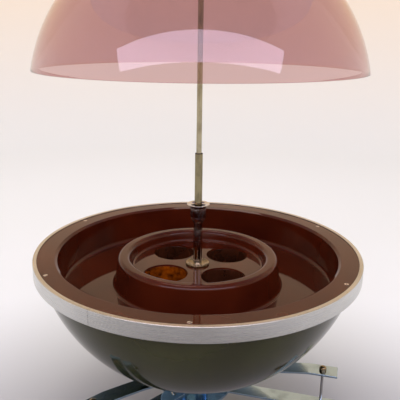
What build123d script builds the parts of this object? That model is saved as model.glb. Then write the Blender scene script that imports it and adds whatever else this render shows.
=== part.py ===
"""Globe drinks bar on castors, in millimetres.

A half-globe bowl stands on a tripod of chromed strips with castors.  An aluminium
band closes the bowl's rim over a moulded serving tray, whose raised ring holds four
bottle wells.  A transparent dome lid rides on a two-stage telescopic mast.

The frame's origin is on the floor, on the mast's axis, with +Z up.  The sizes are
those of the bar as it stands open, with its lid lifted.
"""
from build123d import *
from math import acos, asin, cos, degrees, radians, sin, sqrt
import os

# ---- driving dimensions --------------------------------------------------------

# rim band: an angle section, its lip turned in over the tray's flange
BAND_RADIUS = 300.0
BAND_HEIGHT = 26.0
BAND_WALL = 2.0
BAND_LIP_WIDTH = 7.0
BAND_LIP_THICKNESS = 1.5
BAND_FIT = 0.3
SEAM_AZIMUTH = -122.0
SEAM_GAP = 0.8
SPLICE_LENGTH = 36.0
SPLICE_HEIGHT = 14.0
SPLICE_THICKNESS = 1.2

# bowl: part of a sphere with a flat base and a thickened rim
BOWL_INSET = 8.3
BOWL_SPHERE_DEPTH = 251.0
BOWL_FLAT_CUT = 10.0
BOWL_WALL = 4.0
BOWL_FLANGE_THICKNESS = 4.0
BOWL_RIM_WIDTH = 24.0
BOWL_RIM_DEPTH = 16.0

# serving tray: flange, trough, raised bottle ring and its recess
TRAY_WALL = 3.5
FLANGE_WIDTH = 36.0
FLANGE_BEAD_WIDTH = 5.0
FLANGE_BEAD_DROP = 3.0
TROUGH_DEPTH = 65.0
TROUGH_DRAFT = 2.5
TROUGH_CORNER = 9.0
RING_BASE_RADIUS = 155.5
RING_BASE_CORNER = 7.0
RING_OUTER_RADIUS = 150.0
RING_INNER_RADIUS = 127.0
RING_CROWN_DROP = 10.0
RING_CROWN_FILLET = 9.0
RECESS_RADIUS = 122.5
RECESS_DEPTH = 31.5
RECESS_CORNER = 5.0

# bottle wells
WELL_COUNT = 4
WELL_PITCH_RADIUS = 74.0
WELL_RADIUS = 40.0
WELL_DEPTH = 92.0
WELL_WALL = 2.5
WELL_FLANGE_WIDTH = 6.0
WELL_CORNER = 8.0
WELL_AZIMUTH = 39.0

# rim screws and the threaded inserts they turn into
SCREW_COUNT = 6
SCREW_INSET = 15.0
SCREW_AZIMUTH = 28.0
SCREW_RADIUS = 1.9
SCREW_HEAD_RADIUS = 3.6
SCREW_LENGTH = 16.0
SCREW_HOLE_SPARE = 1.0
INSERT_RADIUS = 3.2
INSERT_LENGTH = 8.0

# stand: two tiers of flat strips on round hub plates
LEG_COUNT = 3
LEG_AZIMUTH = -15.0
LEG_REACH = 272.0
LEG_START = 34.0
LEG_THICKNESS = 4.0
LEG_WIDTH = 33.0
LEG_SPACING = 36.0
LEG_CORNER = 1.5
LEG_EDGE_FILLET = 0.8
LEG_RISE = 30.0
LEG_HAUNCH_RISE = 18.5
LEG_BEND_MARGIN = 10.0
LEG_HAUNCH_RUN = 60.0
LEG_FLAT_END = 54.0
LEG_BEND_RADIUS = 60.0
LEG_BOW_RADIUS = 250.0
HUB_RADIUS = 70.0
HUB_THICKNESS = 5.0
HUB_CHAMFER = 1.0
LEG_SCREW_RADII = (44.0, 60.0)
LEG_SCREW_RADIUS = 2.5
LEG_SCREW_HEAD_RADIUS = 4.6
LEG_SCREW_HEAD_HEIGHT = 2.4
LEG_SCREW_BITE = 4.0

# bolts that hold mast foot, bowl and both hubs together
HUB_BOLT_PITCH_RADIUS = 25.0
HUB_BOLT_RADIUS = 3.0
HUB_BOLT_HEAD_RADIUS = 5.0
HUB_BOLT_HEAD_HEIGHT = 3.4
HUB_NUT_SPAN = 10.0
HUB_NUT_HEIGHT = 5.0
HUB_BOLT_PROJECTION = 2.0
SPACER_RADIUS = 6.5

# castors
CASTOR_HEIGHT = 56.0
CASTOR_REACH = 245.0
CASTOR_TRAIL = 12.0
CASTOR_HEADING = 205.0
STEM_RADIUS = 2.6
STEM_FLANGE_RADIUS = 11.0
STEM_FLANGE_THICKNESS = 3.0
PIVOT_RADIUS = 4.0
PIVOT_HEAD_RADIUS = 6.4
PIVOT_HEAD_THICKNESS = 2.5
FORK_PLATE_RADIUS = 12.5
FORK_PLATE_THICKNESS = 2.6
FORK_CHEEK_THICKNESS = 2.0
FORK_EYE_RADIUS = 7.0
FORK_NECK_WIDTH = 12.0
FORK_SIDE_GAP = 0.8
WHEEL_RADIUS = 20.0
WHEEL_WIDTH = 15.0
WHEEL_HUB_RADIUS = 14.0
WHEEL_HUB_COLLAR = 0.5
WHEEL_HUB_COLLAR_WALL = 2.0
TYRE_SHOULDER = 2.5
AXLE_RADIUS = 3.0
AXLE_HEAD_RADIUS = 4.8
AXLE_HEAD_THICKNESS = 1.4
CAP_NUT_RADIUS = 6.6
CAP_NUT_SKIRT = 3.0
CAP_NUT_DOME = 5.0
CAP_NUT_CROWN_FLAT = 0.2
CAP_NUT_HOLE_SPARE = 1.0

# mast: lower tube, locking collar, middle tube and lid rod
MAST_RADIUS = 8.2
MAST_WALL = 0.9
MAST_HEIGHT = 62.0
MAST_FOOT_RADIUS = 33.0
MAST_FOOT_THICKNESS = 4.0
MAST_SOCKET_HEIGHT = 26.0
MAST_SOCKET_WALL = 3.0
ESCUTCHEON_RADIUS = 22.0
ESCUTCHEON_HEIGHT = 4.0
ESCUTCHEON_RIM = 1.2
MIDDLE_RADIUS = 7.0
MIDDLE_WALL = 1.0
MIDDLE_CLOSED_STUB = 8.0
MIDDLE_FOOT_CLEARANCE = 12.0
ROD_RADIUS = 4.8
ROD_INSERTION = 48.0
ROD_FOOT_CLEARANCE = 2.0
ROD_PIN_RADIUS = 2.4
ROD_HEAD_RADIUS = 4.0
ROD_HEAD_THICKNESS = 1.5
ROD_GLIDE_LENGTH = 12.0
GLIDE_LENGTH = 16.0
BUSH_LENGTH = 14.0
BUSH_LIP = 1.2

# locking collar: a flared cup over a split collet
COLLAR_GRIP_RADIUS = 14.7
COLLAR_FLARE_RADIUS = 21.0
COLLAR_HEIGHT = 36.0
COLLAR_ENGAGEMENT = 12.0
COLLAR_TAPER = 13.0
COLLAR_GRIP_HEIGHT = 19.0
COLLAR_CUP_RADIUS = 12.4
COLLAR_CUP_DEPTH = 9.0
COLLAR_LIP_WIDTH = 1.2
COLLAR_WEB = 3.0
COLLAR_FOOT_WALL = 1.0
COLLET_RADIUS = 10.2
COLLET_SPLIT = 1.6

# lid
LID_INSET = 17.0
LID_HEIGHT = 236.0
LID_WALL = 3.5
LID_LIFT = 328.0
LID_CLOSED_GAP = 0.6
CROWN_WASHER_RADIUS = 21.0
CROWN_WASHER_THICKNESS = 2.5
CROWN_GASKET_RADIUS = 19.0
CROWN_GASKET_THICKNESS = 1.5
LID_EDGE_FILLET = 0.8
ROD_STUD_RADIUS = 3.5
ROD_STUD_ENTRY = 9.0
STUD_HOLE_SPARE = 1.0
KNOB_RADIUS = 19.0
KNOB_NECK_RADIUS = 9.0
KNOB_WAIST_HEIGHT = 15.0
KNOB_HEIGHT = 27.0

# clearances
RUNNING_FIT = 0.05
PRESS_FIT = 0.02
FREE_GAP = 0.3
SCREW_CLEARANCE = 0.3
PIVOT_GAP = 0.5

# ---- levels and radii worked out from the sizes above ----------------------------

lower_leg_base = CASTOR_HEIGHT
lower_leg_top = lower_leg_base + LEG_THICKNESS
upper_leg_base = lower_leg_top + LEG_SPACING
upper_leg_top = upper_leg_base + LEG_THICKNESS
cap_nut_seat = upper_leg_top + LEG_RISE
bowl_base = upper_leg_top + HUB_THICKNESS
rim_top = bowl_base + BOWL_SPHERE_DEPTH - BOWL_FLAT_CUT
flange_top = rim_top - BAND_LIP_THICKNESS
bowl_flange_top = flange_top - TRAY_WALL
bowl_flange_base = bowl_flange_top - BOWL_FLANGE_THICKNESS
bowl_rim_base = bowl_flange_top - BOWL_RIM_DEPTH
bowl_floor = bowl_base + BOWL_WALL

band_inner_radius = BAND_RADIUS - BAND_WALL
lip_inner_radius = BAND_RADIUS - BAND_LIP_WIDTH
flange_outer_radius = band_inner_radius - BAND_FIT
bowl_rim_radius = BAND_RADIUS - BOWL_INSET
bowl_radius = (bowl_rim_radius**2 + BOWL_SPHERE_DEPTH**2) / (2 * BOWL_SPHERE_DEPTH)
bowl_centre = rim_top - BOWL_SPHERE_DEPTH + bowl_radius
bowl_inner_radius = bowl_radius - BOWL_WALL
bowl_rim_inner_radius = bowl_rim_radius - BOWL_RIM_WIDTH / 2 - BOWL_WALL

trough_top_radius = lip_inner_radius - FLANGE_WIDTH
trough_floor_radius = trough_top_radius - TROUGH_DRAFT
trough_floor = flange_top - TROUGH_DEPTH
ring_crown = flange_top - RING_CROWN_DROP
recess_floor = flange_top - RECESS_DEPTH
recess_underside = recess_floor - TRAY_WALL
screw_circle_radius = BAND_RADIUS - SCREW_INSET

mast_bore = MAST_RADIUS - MAST_WALL
mast_seat = bowl_floor + MAST_FOOT_THICKNESS
mast_top = rim_top + MAST_HEIGHT
collar_base = mast_top - COLLAR_ENGAGEMENT
collar_top = collar_base + COLLAR_HEIGHT
collar_cup_floor = collar_top - COLLAR_CUP_DEPTH
collet_top = collar_cup_floor - COLLAR_WEB - FREE_GAP

middle_bore = MIDDLE_RADIUS - MIDDLE_WALL
middle_closed_base = mast_seat + MIDDLE_FOOT_CLEARANCE
middle_length = collar_top + MIDDLE_CLOSED_STUB - middle_closed_base
rod_end_length = 2 * PIVOT_GAP + ROD_GLIDE_LENGTH + ROD_HEAD_THICKNESS
rod_foot_stop = GLIDE_LENGTH / 2 + ROD_FOOT_CLEARANCE + rod_end_length
rod_stroke = middle_length - rod_foot_stop - ROD_INSERTION
middle_stroke = LID_LIFT - rod_stroke
middle_base = middle_closed_base + middle_stroke
middle_top = middle_base + middle_length
rod_base = middle_top - ROD_INSERTION

lid_rim_radius = BAND_RADIUS - LID_INSET
lid_rim = flange_top + LID_CLOSED_GAP + LID_LIFT
lid_crown = lid_rim + LID_HEIGHT
lid_radius = (lid_rim_radius**2 + LID_HEIGHT**2) / (2 * LID_HEIGHT)
lid_centre = lid_crown - lid_radius
lid_inner_radius = lid_radius - LID_WALL
lid_underside = lid_crown - LID_WALL
stud_hole_radius = ROD_STUD_RADIUS + SCREW_CLEARANCE
gasket_edge = lid_centre + sqrt(lid_inner_radius**2 - CROWN_GASKET_RADIUS**2)
gasket_base = gasket_edge - CROWN_GASKET_THICKNESS
rod_shoulder = gasket_base - CROWN_WASHER_THICKNESS
knob_base = lid_crown + CROWN_WASHER_THICKNESS

leg_azimuths = [LEG_AZIMUTH + 360 / LEG_COUNT * i for i in range(LEG_COUNT)]
bolt_azimuth = LEG_AZIMUTH + 180 / LEG_COUNT

os.makedirs("parts", exist_ok=True)


def write(piece, node):
    """Label a finished piece with its node's name and write its STEP file."""
    piece.part.label = node
    export_step(piece.part, f"parts/{node}.step")


def angle_at(height, centre, radius):
    """Angle above level, in degrees, of a sphere's point at a height."""
    return degrees(asin((height - centre) / radius))


def section_arc(centre, radius, low, high):
    """Meridian arc of a sphere between two heights, drawn upwards."""
    start = angle_at(low, centre, radius)
    return CenterArc((0, centre), radius, start, angle_at(high, centre, radius) - start)


def crown_arc(centre, radius, inner_reach, outer_reach):
    """Meridian arc of a sphere near its pole, drawn inwards between two reaches."""
    start = degrees(acos(outer_reach / radius))
    return CenterArc((0, centre), radius, start, degrees(acos(inner_reach / radius)) - start)


def level_plane(azimuth, height, reach=0.0):
    """Level plane whose X points outwards at an azimuth, its origin at a reach."""
    turn = radians(azimuth)
    return Plane(
        origin=(reach * cos(turn), reach * sin(turn), height),
        x_dir=(cos(turn), sin(turn), 0),
        z_dir=(0, 0, 1),
    )


# ---- bowl and rim ----------------------------------------------------------------

# moulded bowl: its flat base sits on the upper hub plate, its rim carries the tray
with BuildPart() as bowl_shell:
    with BuildSketch(Plane.XZ):
        with BuildLine():
            skin = section_arc(bowl_centre, bowl_radius, bowl_base, bowl_flange_base)
            lining = section_arc(bowl_centre, bowl_inner_radius, bowl_floor, bowl_rim_base)
            Polyline(
                skin @ 1,
                (flange_outer_radius, bowl_flange_base),
                (flange_outer_radius, bowl_flange_top),
                (bowl_rim_inner_radius, bowl_flange_top),
                (bowl_rim_inner_radius, bowl_rim_base),
                lining @ 1,
            )
            Polyline(lining @ 0, (0, bowl_floor), (0, bowl_base), skin @ 0)
        make_face()
    revolve(axis=Axis.Z)
    with BuildSketch(Plane.XY.offset(bowl_base)):
        with PolarLocations(HUB_BOLT_PITCH_RADIUS, LEG_COUNT, bolt_azimuth):
            Circle(HUB_BOLT_RADIUS + SCREW_CLEARANCE)
    extrude(amount=BOWL_WALL, mode=Mode.SUBTRACT)
    with BuildSketch(Plane.XY.offset(bowl_flange_top)):
        with PolarLocations(screw_circle_radius, SCREW_COUNT, SCREW_AZIMUTH):
            Circle(INSERT_RADIUS + PRESS_FIT)
    extrude(amount=-(INSERT_LENGTH), mode=Mode.SUBTRACT)
    with BuildSketch(Plane.XY.offset(bowl_flange_top - INSERT_LENGTH)):
        with PolarLocations(screw_circle_radius, SCREW_COUNT, SCREW_AZIMUTH):
            Circle(SCREW_RADIUS + SCREW_CLEARANCE)
    extrude(amount=-(SCREW_LENGTH - INSERT_LENGTH - TRAY_WALL + SCREW_HOLE_SPARE), mode=Mode.SUBTRACT)
write(bowl_shell, "bowl_shell")

# aluminium band: wall and lip in one ring, cut through at its butt seam
with BuildPart() as rim_band:
    with BuildSketch(Plane.XZ):
        with BuildLine():
            Polyline(
                (band_inner_radius, rim_top - BAND_HEIGHT),
                (BAND_RADIUS, rim_top - BAND_HEIGHT),
                (BAND_RADIUS, rim_top),
                (lip_inner_radius, rim_top),
                (lip_inner_radius, flange_top),
                (band_inner_radius, flange_top),
                close=True,
            )
        make_face()
        fillet(vertices().sort_by(Axis.X)[-2:].sort_by(Axis.Y)[-1], BAND_LIP_THICKNESS / 2)
    revolve(axis=Axis.Z)
    with BuildSketch(level_plane(SEAM_AZIMUTH, rim_top - BAND_HEIGHT, BAND_RADIUS)):
        Rectangle(3 * BAND_LIP_WIDTH, SEAM_GAP)
    extrude(amount=BAND_HEIGHT, mode=Mode.SUBTRACT)
write(rim_band, "rim_band")

# splice plate behind the seam, in the gap between the bowl and the band
splice_outer = band_inner_radius - PRESS_FIT
splice_inner = splice_outer - SPLICE_THICKNESS
splice_top = bowl_flange_base - FREE_GAP
with BuildPart() as band_splice:
    with BuildSketch(Plane.XY.offset(splice_top - SPLICE_HEIGHT)):
        Circle(splice_outer)
        Circle(splice_inner, mode=Mode.SUBTRACT)
    extrude(amount=SPLICE_HEIGHT)
    with BuildSketch(level_plane(SEAM_AZIMUTH, splice_top - SPLICE_HEIGHT, splice_outer)):
        Rectangle(SPLICE_LENGTH, SPLICE_LENGTH)
    extrude(amount=SPLICE_HEIGHT, mode=Mode.INTERSECT)
write(band_splice, "band_splice")

# ---- serving tray ------------------------------------------------------------------

# one moulding of even wall: the upper face's outline, thickened downwards
with BuildPart() as serving_tray:
    with BuildSketch(Plane.XZ):
        with BuildLine():
            upper_face = FilletPolyline(
                (flange_outer_radius, flange_top),
                (trough_top_radius + FLANGE_BEAD_WIDTH, flange_top),
                (trough_top_radius, flange_top - FLANGE_BEAD_DROP),
                (trough_floor_radius, trough_floor),
                (RING_BASE_RADIUS, trough_floor),
                (RING_OUTER_RADIUS, ring_crown),
                (RING_INNER_RADIUS, ring_crown),
                (RECESS_RADIUS, recess_floor),
                (MAST_RADIUS + FREE_GAP, recess_floor),
                radius=(
                    FLANGE_BEAD_DROP,
                    FLANGE_BEAD_DROP / 2,
                    TROUGH_CORNER,
                    RING_BASE_CORNER,
                    RING_CROWN_FILLET,
                    RING_CROWN_FILLET,
                    RECESS_CORNER,
                ),
            )
            offset(upper_face, amount=TRAY_WALL, side=Side.LEFT, closed=True, mode=Mode.ADD)
        make_face()
    revolve(axis=Axis.Z)
    with BuildSketch(Plane.XY.offset(recess_floor)):
        with PolarLocations(WELL_PITCH_RADIUS, WELL_COUNT, WELL_AZIMUTH):
            Circle(WELL_RADIUS)
    extrude(amount=-TRAY_WALL, mode=Mode.SUBTRACT)
    with PolarLocations(screw_circle_radius, SCREW_COUNT, SCREW_AZIMUTH):
        with Locations((0, 0, flange_top)):
            CounterSinkHole(
                SCREW_RADIUS + SCREW_CLEARANCE,
                SCREW_HEAD_RADIUS + PRESS_FIT,
                depth=TRAY_WALL,
                counter_sink_angle=90,
            )
write(serving_tray, "serving_tray")

# bottle wells: flanged cups that continue the tray's holes downwards
well_outer_radius = WELL_RADIUS + WELL_WALL
for number in range(WELL_COUNT):
    azimuth = WELL_AZIMUTH + 360 / WELL_COUNT * number
    with BuildPart() as bottle_well:
        with BuildSketch(level_plane(azimuth, recess_underside, WELL_PITCH_RADIUS)):
            Circle(WELL_RADIUS + WELL_FLANGE_WIDTH)
        extrude(amount=-WELL_WALL)
        with BuildSketch(level_plane(azimuth, recess_underside, WELL_PITCH_RADIUS)):
            Circle(well_outer_radius)
        extrude(amount=-WELL_DEPTH - WELL_WALL)
        fillet(bottle_well.edges().group_by(Axis.Z)[0], WELL_CORNER)
        with BuildSketch(level_plane(azimuth, recess_underside, WELL_PITCH_RADIUS)):
            Circle(WELL_RADIUS)
        extrude(amount=-WELL_DEPTH, mode=Mode.SUBTRACT)
        well_bottom_edge = bottle_well.edges().filter_by(GeomType.CIRCLE)
        well_bottom_edge = well_bottom_edge.filter_by(lambda e: abs(e.radius - WELL_RADIUS) < 0.01)
        fillet(well_bottom_edge.sort_by(Axis.Z)[0], WELL_CORNER - WELL_WALL)
    write(bottle_well, f"bottle_well_{number + 1}")

# countersunk rim screws, flush with the flange
head_depth = SCREW_HEAD_RADIUS - SCREW_RADIUS
with BuildPart() as rim_screws:
    with BuildSketch(Plane.XY.offset(flange_top)):
        with PolarLocations(screw_circle_radius, SCREW_COUNT, SCREW_AZIMUTH):
            Circle(SCREW_RADIUS)
    extrude(amount=-SCREW_LENGTH)
    with PolarLocations(screw_circle_radius, SCREW_COUNT, SCREW_AZIMUTH):
        with Locations((0, 0, flange_top - head_depth / 2)):
            Cone(SCREW_RADIUS, SCREW_HEAD_RADIUS, head_depth)
write(rim_screws, "rim_screws")

# brass inserts moulded into the bowl's rim for the screws
with BuildPart() as rim_inserts:
    with BuildSketch(Plane.XY.offset(bowl_flange_top)):
        with PolarLocations(screw_circle_radius, SCREW_COUNT, SCREW_AZIMUTH):
            Circle(INSERT_RADIUS)
            Circle(SCREW_RADIUS + PRESS_FIT, mode=Mode.SUBTRACT)
    extrude(amount=-INSERT_LENGTH)
write(rim_inserts, "rim_inserts")

# ---- stand -------------------------------------------------------------------------

# upper hub plate: blind holes for the leg screws, through holes for the hub bolts
upper_hub_base = upper_leg_top
with BuildPart() as hub_plate_upper:
    with BuildSketch(Plane.XY.offset(upper_hub_base)):
        Circle(HUB_RADIUS)
        with PolarLocations(HUB_BOLT_PITCH_RADIUS, LEG_COUNT, bolt_azimuth):
            Circle(HUB_BOLT_RADIUS + SCREW_CLEARANCE, mode=Mode.SUBTRACT)
    extrude(amount=HUB_THICKNESS)
    chamfer(hub_plate_upper.faces().sort_by(Axis.Z)[0].outer_wire().edges(), HUB_CHAMFER)
    with BuildSketch(Plane.XY.offset(upper_hub_base)):
        for screw_reach in LEG_SCREW_RADII:
            with PolarLocations(screw_reach, LEG_COUNT, LEG_AZIMUTH):
                Circle(LEG_SCREW_RADIUS + PRESS_FIT)
    extrude(amount=LEG_SCREW_BITE, mode=Mode.SUBTRACT)
write(hub_plate_upper, "hub_plate_upper")

# lower hub plate, under the lower legs
lower_hub_top = lower_leg_base
with BuildPart() as hub_plate_lower:
    with BuildSketch(Plane.XY.offset(lower_hub_top)):
        Circle(HUB_RADIUS)
        with PolarLocations(HUB_BOLT_PITCH_RADIUS, LEG_COUNT, bolt_azimuth):
            Circle(HUB_BOLT_RADIUS + SCREW_CLEARANCE, mode=Mode.SUBTRACT)
        for screw_reach in LEG_SCREW_RADII:
            with PolarLocations(screw_reach, LEG_COUNT, LEG_AZIMUTH):
                Circle(LEG_SCREW_RADIUS + PRESS_FIT, mode=Mode.SUBTRACT)
    extrude(amount=-HUB_THICKNESS)
    chamfer(hub_plate_lower.faces().sort_by(Axis.Z)[0].outer_wire().edges(), HUB_CHAMFER)
write(hub_plate_lower, "hub_plate_lower")

# legs: chromed strips of one width, drilled for the stem and the hub screws.  The
# lower ones are straight; the upper ones bow up beside the bowl to a level end.
upper_leg_route = (
    (LEG_START, 0),
    (HUB_RADIUS + LEG_BEND_MARGIN, 0),
    (HUB_RADIUS + LEG_BEND_MARGIN + LEG_HAUNCH_RUN, LEG_HAUNCH_RISE),
    (LEG_REACH - LEG_FLAT_END, LEG_RISE),
    (LEG_REACH, LEG_RISE),
)
for number, azimuth in enumerate(leg_azimuths, 1):
    turn = radians(azimuth)
    for tier, base in (("upper", upper_leg_base), ("lower", lower_leg_base)):
        leg_side = Plane(
            origin=(0, 0, base),
            x_dir=(cos(turn), sin(turn), 0),
            z_dir=(sin(turn), -cos(turn), 0),
        )
        with BuildPart() as leg:
            with BuildSketch(leg_side):
                with BuildLine():
                    if tier == "upper":
                        underside = FilletPolyline(
                            *upper_leg_route,
                            radius=(LEG_BEND_RADIUS, LEG_BOW_RADIUS, LEG_BOW_RADIUS),
                        )
                    else:
                        underside = Line((LEG_START, 0), (LEG_REACH, 0))
                    offset(underside, amount=LEG_THICKNESS, side=Side.LEFT, closed=True)
                make_face()
            extrude(amount=LEG_WIDTH / 2, both=True)
            fillet(leg.edges().filter_by(Axis.Z), LEG_CORNER)
            with BuildSketch(level_plane(azimuth, base)):
                with Locations((CASTOR_REACH, 0)):
                    Circle(STEM_RADIUS + RUNNING_FIT)
                with Locations([(reach, 0) for reach in LEG_SCREW_RADII]):
                    Circle(LEG_SCREW_RADIUS + SCREW_CLEARANCE)
            extrude(amount=LEG_RISE + LEG_THICKNESS, mode=Mode.SUBTRACT)
            rim_edges = leg.edges().filter_by(
                lambda edge: edge.length > LEG_THICKNESS
                and abs(leg_side.to_local_coords(edge.center()).Z) > LEG_WIDTH / 2 - LEG_EDGE_FILLET
            )
            fillet(rim_edges, LEG_EDGE_FILLET)
        write(leg, f"{tier}_leg_{number}")

# button-headed screws: from below into the upper plate, from above into the lower one
for tier, seat, inwards in (
    ("upper", upper_leg_base, 1),
    ("lower", lower_leg_top, -1),
):
    with BuildPart() as leg_screws:
        for screw_reach in LEG_SCREW_RADII:
            with BuildSketch(Plane.XY.offset(seat)):
                with PolarLocations(screw_reach, LEG_COUNT, LEG_AZIMUTH):
                    Circle(LEG_SCREW_HEAD_RADIUS)
            extrude(amount=-inwards * LEG_SCREW_HEAD_HEIGHT)
            with BuildSketch(Plane.XY.offset(seat)):
                with PolarLocations(screw_reach, LEG_COUNT, LEG_AZIMUTH):
                    Circle(LEG_SCREW_RADIUS)
            extrude(amount=inwards * (LEG_THICKNESS + LEG_SCREW_BITE))
        head_faces = leg_screws.faces().sort_by(Axis.Z)
        head_faces = head_faces.group_by(Axis.Z)[0 if inwards > 0 else -1]
        chamfer(head_faces.edges(), LEG_SCREW_HEAD_HEIGHT / 3)
    write(leg_screws, f"{tier}_leg_screws")

# long bolts, heads down on the mast's foot, with spacer tubes between the hub plates
bolt_tip = lower_hub_top - HUB_THICKNESS - HUB_NUT_HEIGHT - HUB_BOLT_PROJECTION
with BuildPart() as hub_bolts:
    with BuildSketch(Plane.XY.offset(bolt_tip)):
        with PolarLocations(HUB_BOLT_PITCH_RADIUS, LEG_COUNT, bolt_azimuth):
            Circle(HUB_BOLT_RADIUS)
    extrude(amount=mast_seat - bolt_tip)
    with BuildSketch(Plane.XY.offset(mast_seat)):
        with PolarLocations(HUB_BOLT_PITCH_RADIUS, LEG_COUNT, bolt_azimuth):
            Circle(HUB_BOLT_HEAD_RADIUS)
    extrude(amount=HUB_BOLT_HEAD_HEIGHT)
write(hub_bolts, "hub_bolts")

with BuildPart() as hub_nuts:
    with BuildSketch(Plane.XY.offset(lower_hub_top - HUB_THICKNESS)):
        with PolarLocations(HUB_BOLT_PITCH_RADIUS, LEG_COUNT, bolt_azimuth):
            RegularPolygon(HUB_NUT_SPAN / 2, 6, major_radius=False)
            Circle(HUB_BOLT_RADIUS + PRESS_FIT, mode=Mode.SUBTRACT)
    extrude(amount=-HUB_NUT_HEIGHT)
write(hub_nuts, "hub_nuts")

with BuildPart() as hub_spacers:
    with BuildSketch(Plane.XY.offset(lower_hub_top)):
        with PolarLocations(HUB_BOLT_PITCH_RADIUS, LEG_COUNT, bolt_azimuth):
            Circle(SPACER_RADIUS)
            Circle(HUB_BOLT_RADIUS + SCREW_CLEARANCE, mode=Mode.SUBTRACT)
    extrude(amount=upper_hub_base - lower_hub_top)
write(hub_spacers, "hub_spacers")

# ---- castors -----------------------------------------------------------------------

flange_underside = CASTOR_HEIGHT - STEM_FLANGE_THICKNESS
fork_plate_top = flange_underside - PIVOT_GAP
fork_plate_base = fork_plate_top - FORK_PLATE_THICKNESS
pivot_head_top = fork_plate_base - PIVOT_GAP
pivot_base = pivot_head_top - PIVOT_HEAD_THICKNESS
cheek_inside = WHEEL_WIDTH / 2 + FORK_SIDE_GAP
cheek_outside = cheek_inside + FORK_CHEEK_THICKNESS
heading = radians(CASTOR_HEADING)

for number, azimuth in enumerate(leg_azimuths, 1):
    turn = radians(azimuth)
    stem_x = CASTOR_REACH * cos(turn)
    stem_y = CASTOR_REACH * sin(turn)
    wheel_x = stem_x + CASTOR_TRAIL * cos(heading)
    wheel_y = stem_y + CASTOR_TRAIL * sin(heading)
    # the fork's own upright plane: X along the trail, Y up, through the stem
    trail_plane = Plane(
        origin=(stem_x, stem_y, 0),
        x_dir=(cos(heading), sin(heading), 0),
        z_dir=(sin(heading), -cos(heading), 0),
    )
    wheel_plane = Plane(
        origin=(wheel_x, wheel_y, WHEEL_RADIUS),
        x_dir=trail_plane.x_dir,
        z_dir=trail_plane.z_dir,
    )

    # stem: rod through both legs, shoulder flange, pivot and riveted head
    with BuildPart() as castor_stem:
        for base, top, stem_part_radius in (
            (CASTOR_HEIGHT, cap_nut_seat + CAP_NUT_SKIRT, STEM_RADIUS),
            (flange_underside, CASTOR_HEIGHT, STEM_FLANGE_RADIUS),
            (pivot_head_top, flange_underside, PIVOT_RADIUS),
            (pivot_base, pivot_head_top, PIVOT_HEAD_RADIUS),
        ):
            with BuildSketch(level_plane(azimuth, base, CASTOR_REACH)):
                Circle(stem_part_radius)
            extrude(amount=top - base)
        chamfer(castor_stem.edges().group_by(Axis.Z)[0], PIVOT_HEAD_THICKNESS / 3)
    write(castor_stem, f"castor_stem_{number}")

    # fork: round top plate and two tapered cheeks
    with BuildPart() as castor_fork:
        with BuildSketch(trail_plane.offset(-cheek_outside)):
            with Locations((CASTOR_TRAIL, WHEEL_RADIUS)):
                Circle(FORK_EYE_RADIUS)
            with Locations((0, fork_plate_base + FORK_PLATE_THICKNESS / 2)):
                Rectangle(FORK_NECK_WIDTH, FORK_PLATE_THICKNESS)
            make_hull()
        extrude(amount=2 * cheek_outside)
        with BuildSketch(Plane(trail_plane.origin, x_dir=trail_plane.x_dir)):
            Rectangle(4 * (CASTOR_TRAIL + FORK_PLATE_RADIUS), 2 * cheek_inside)
        extrude(amount=fork_plate_base, mode=Mode.SUBTRACT)
        with BuildSketch(Plane((stem_x, stem_y, fork_plate_base))):
            Circle(FORK_PLATE_RADIUS)
        extrude(amount=FORK_PLATE_THICKNESS)
        with BuildSketch(Plane((stem_x, stem_y, fork_plate_base))):
            Circle(PIVOT_RADIUS + RUNNING_FIT)
        extrude(amount=FORK_PLATE_THICKNESS, mode=Mode.SUBTRACT)
        with BuildSketch(wheel_plane.offset(-cheek_outside)):
            Circle(AXLE_RADIUS + PRESS_FIT)
        extrude(amount=2 * cheek_outside, mode=Mode.SUBTRACT)
    write(castor_fork, f"castor_fork_{number}")

    # axle: a rivet with a head outside each cheek
    with BuildPart() as castor_axle:
        with BuildSketch(wheel_plane.offset(-cheek_outside)):
            Circle(AXLE_RADIUS)
        extrude(amount=2 * cheek_outside)
        for side in (-1, 1):
            with BuildSketch(wheel_plane.offset(side * cheek_outside)):
                Circle(AXLE_HEAD_RADIUS)
            extrude(amount=side * AXLE_HEAD_THICKNESS)
    write(castor_axle, f"castor_axle_{number}")

    # wheel: nylon centre with a bore collar, and a rubber tyre round it
    with BuildPart() as castor_hub:
        with BuildSketch(wheel_plane.offset(-WHEEL_WIDTH / 2 + WHEEL_HUB_COLLAR)):
            Circle(WHEEL_HUB_RADIUS)
        extrude(amount=WHEEL_WIDTH - 2 * WHEEL_HUB_COLLAR)
        with BuildSketch(wheel_plane.offset(-WHEEL_WIDTH / 2)):
            Circle(AXLE_RADIUS + WHEEL_HUB_COLLAR_WALL)
        extrude(amount=WHEEL_WIDTH)
        with BuildSketch(wheel_plane.offset(-WHEEL_WIDTH / 2)):
            Circle(AXLE_RADIUS + RUNNING_FIT)
        extrude(amount=WHEEL_WIDTH, mode=Mode.SUBTRACT)
    write(castor_hub, f"castor_hub_{number}")

    with BuildPart() as castor_tyre:
        with BuildSketch(wheel_plane.offset(-WHEEL_WIDTH / 2)):
            Circle(WHEEL_RADIUS)
        extrude(amount=WHEEL_WIDTH)
        fillet(castor_tyre.edges().filter_by(GeomType.CIRCLE), TYRE_SHOULDER)
        with BuildSketch(wheel_plane.offset(-WHEEL_WIDTH / 2)):
            Circle(WHEEL_HUB_RADIUS)
        extrude(amount=WHEEL_WIDTH, mode=Mode.SUBTRACT)
    write(castor_tyre, f"castor_tyre_{number}")

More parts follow.
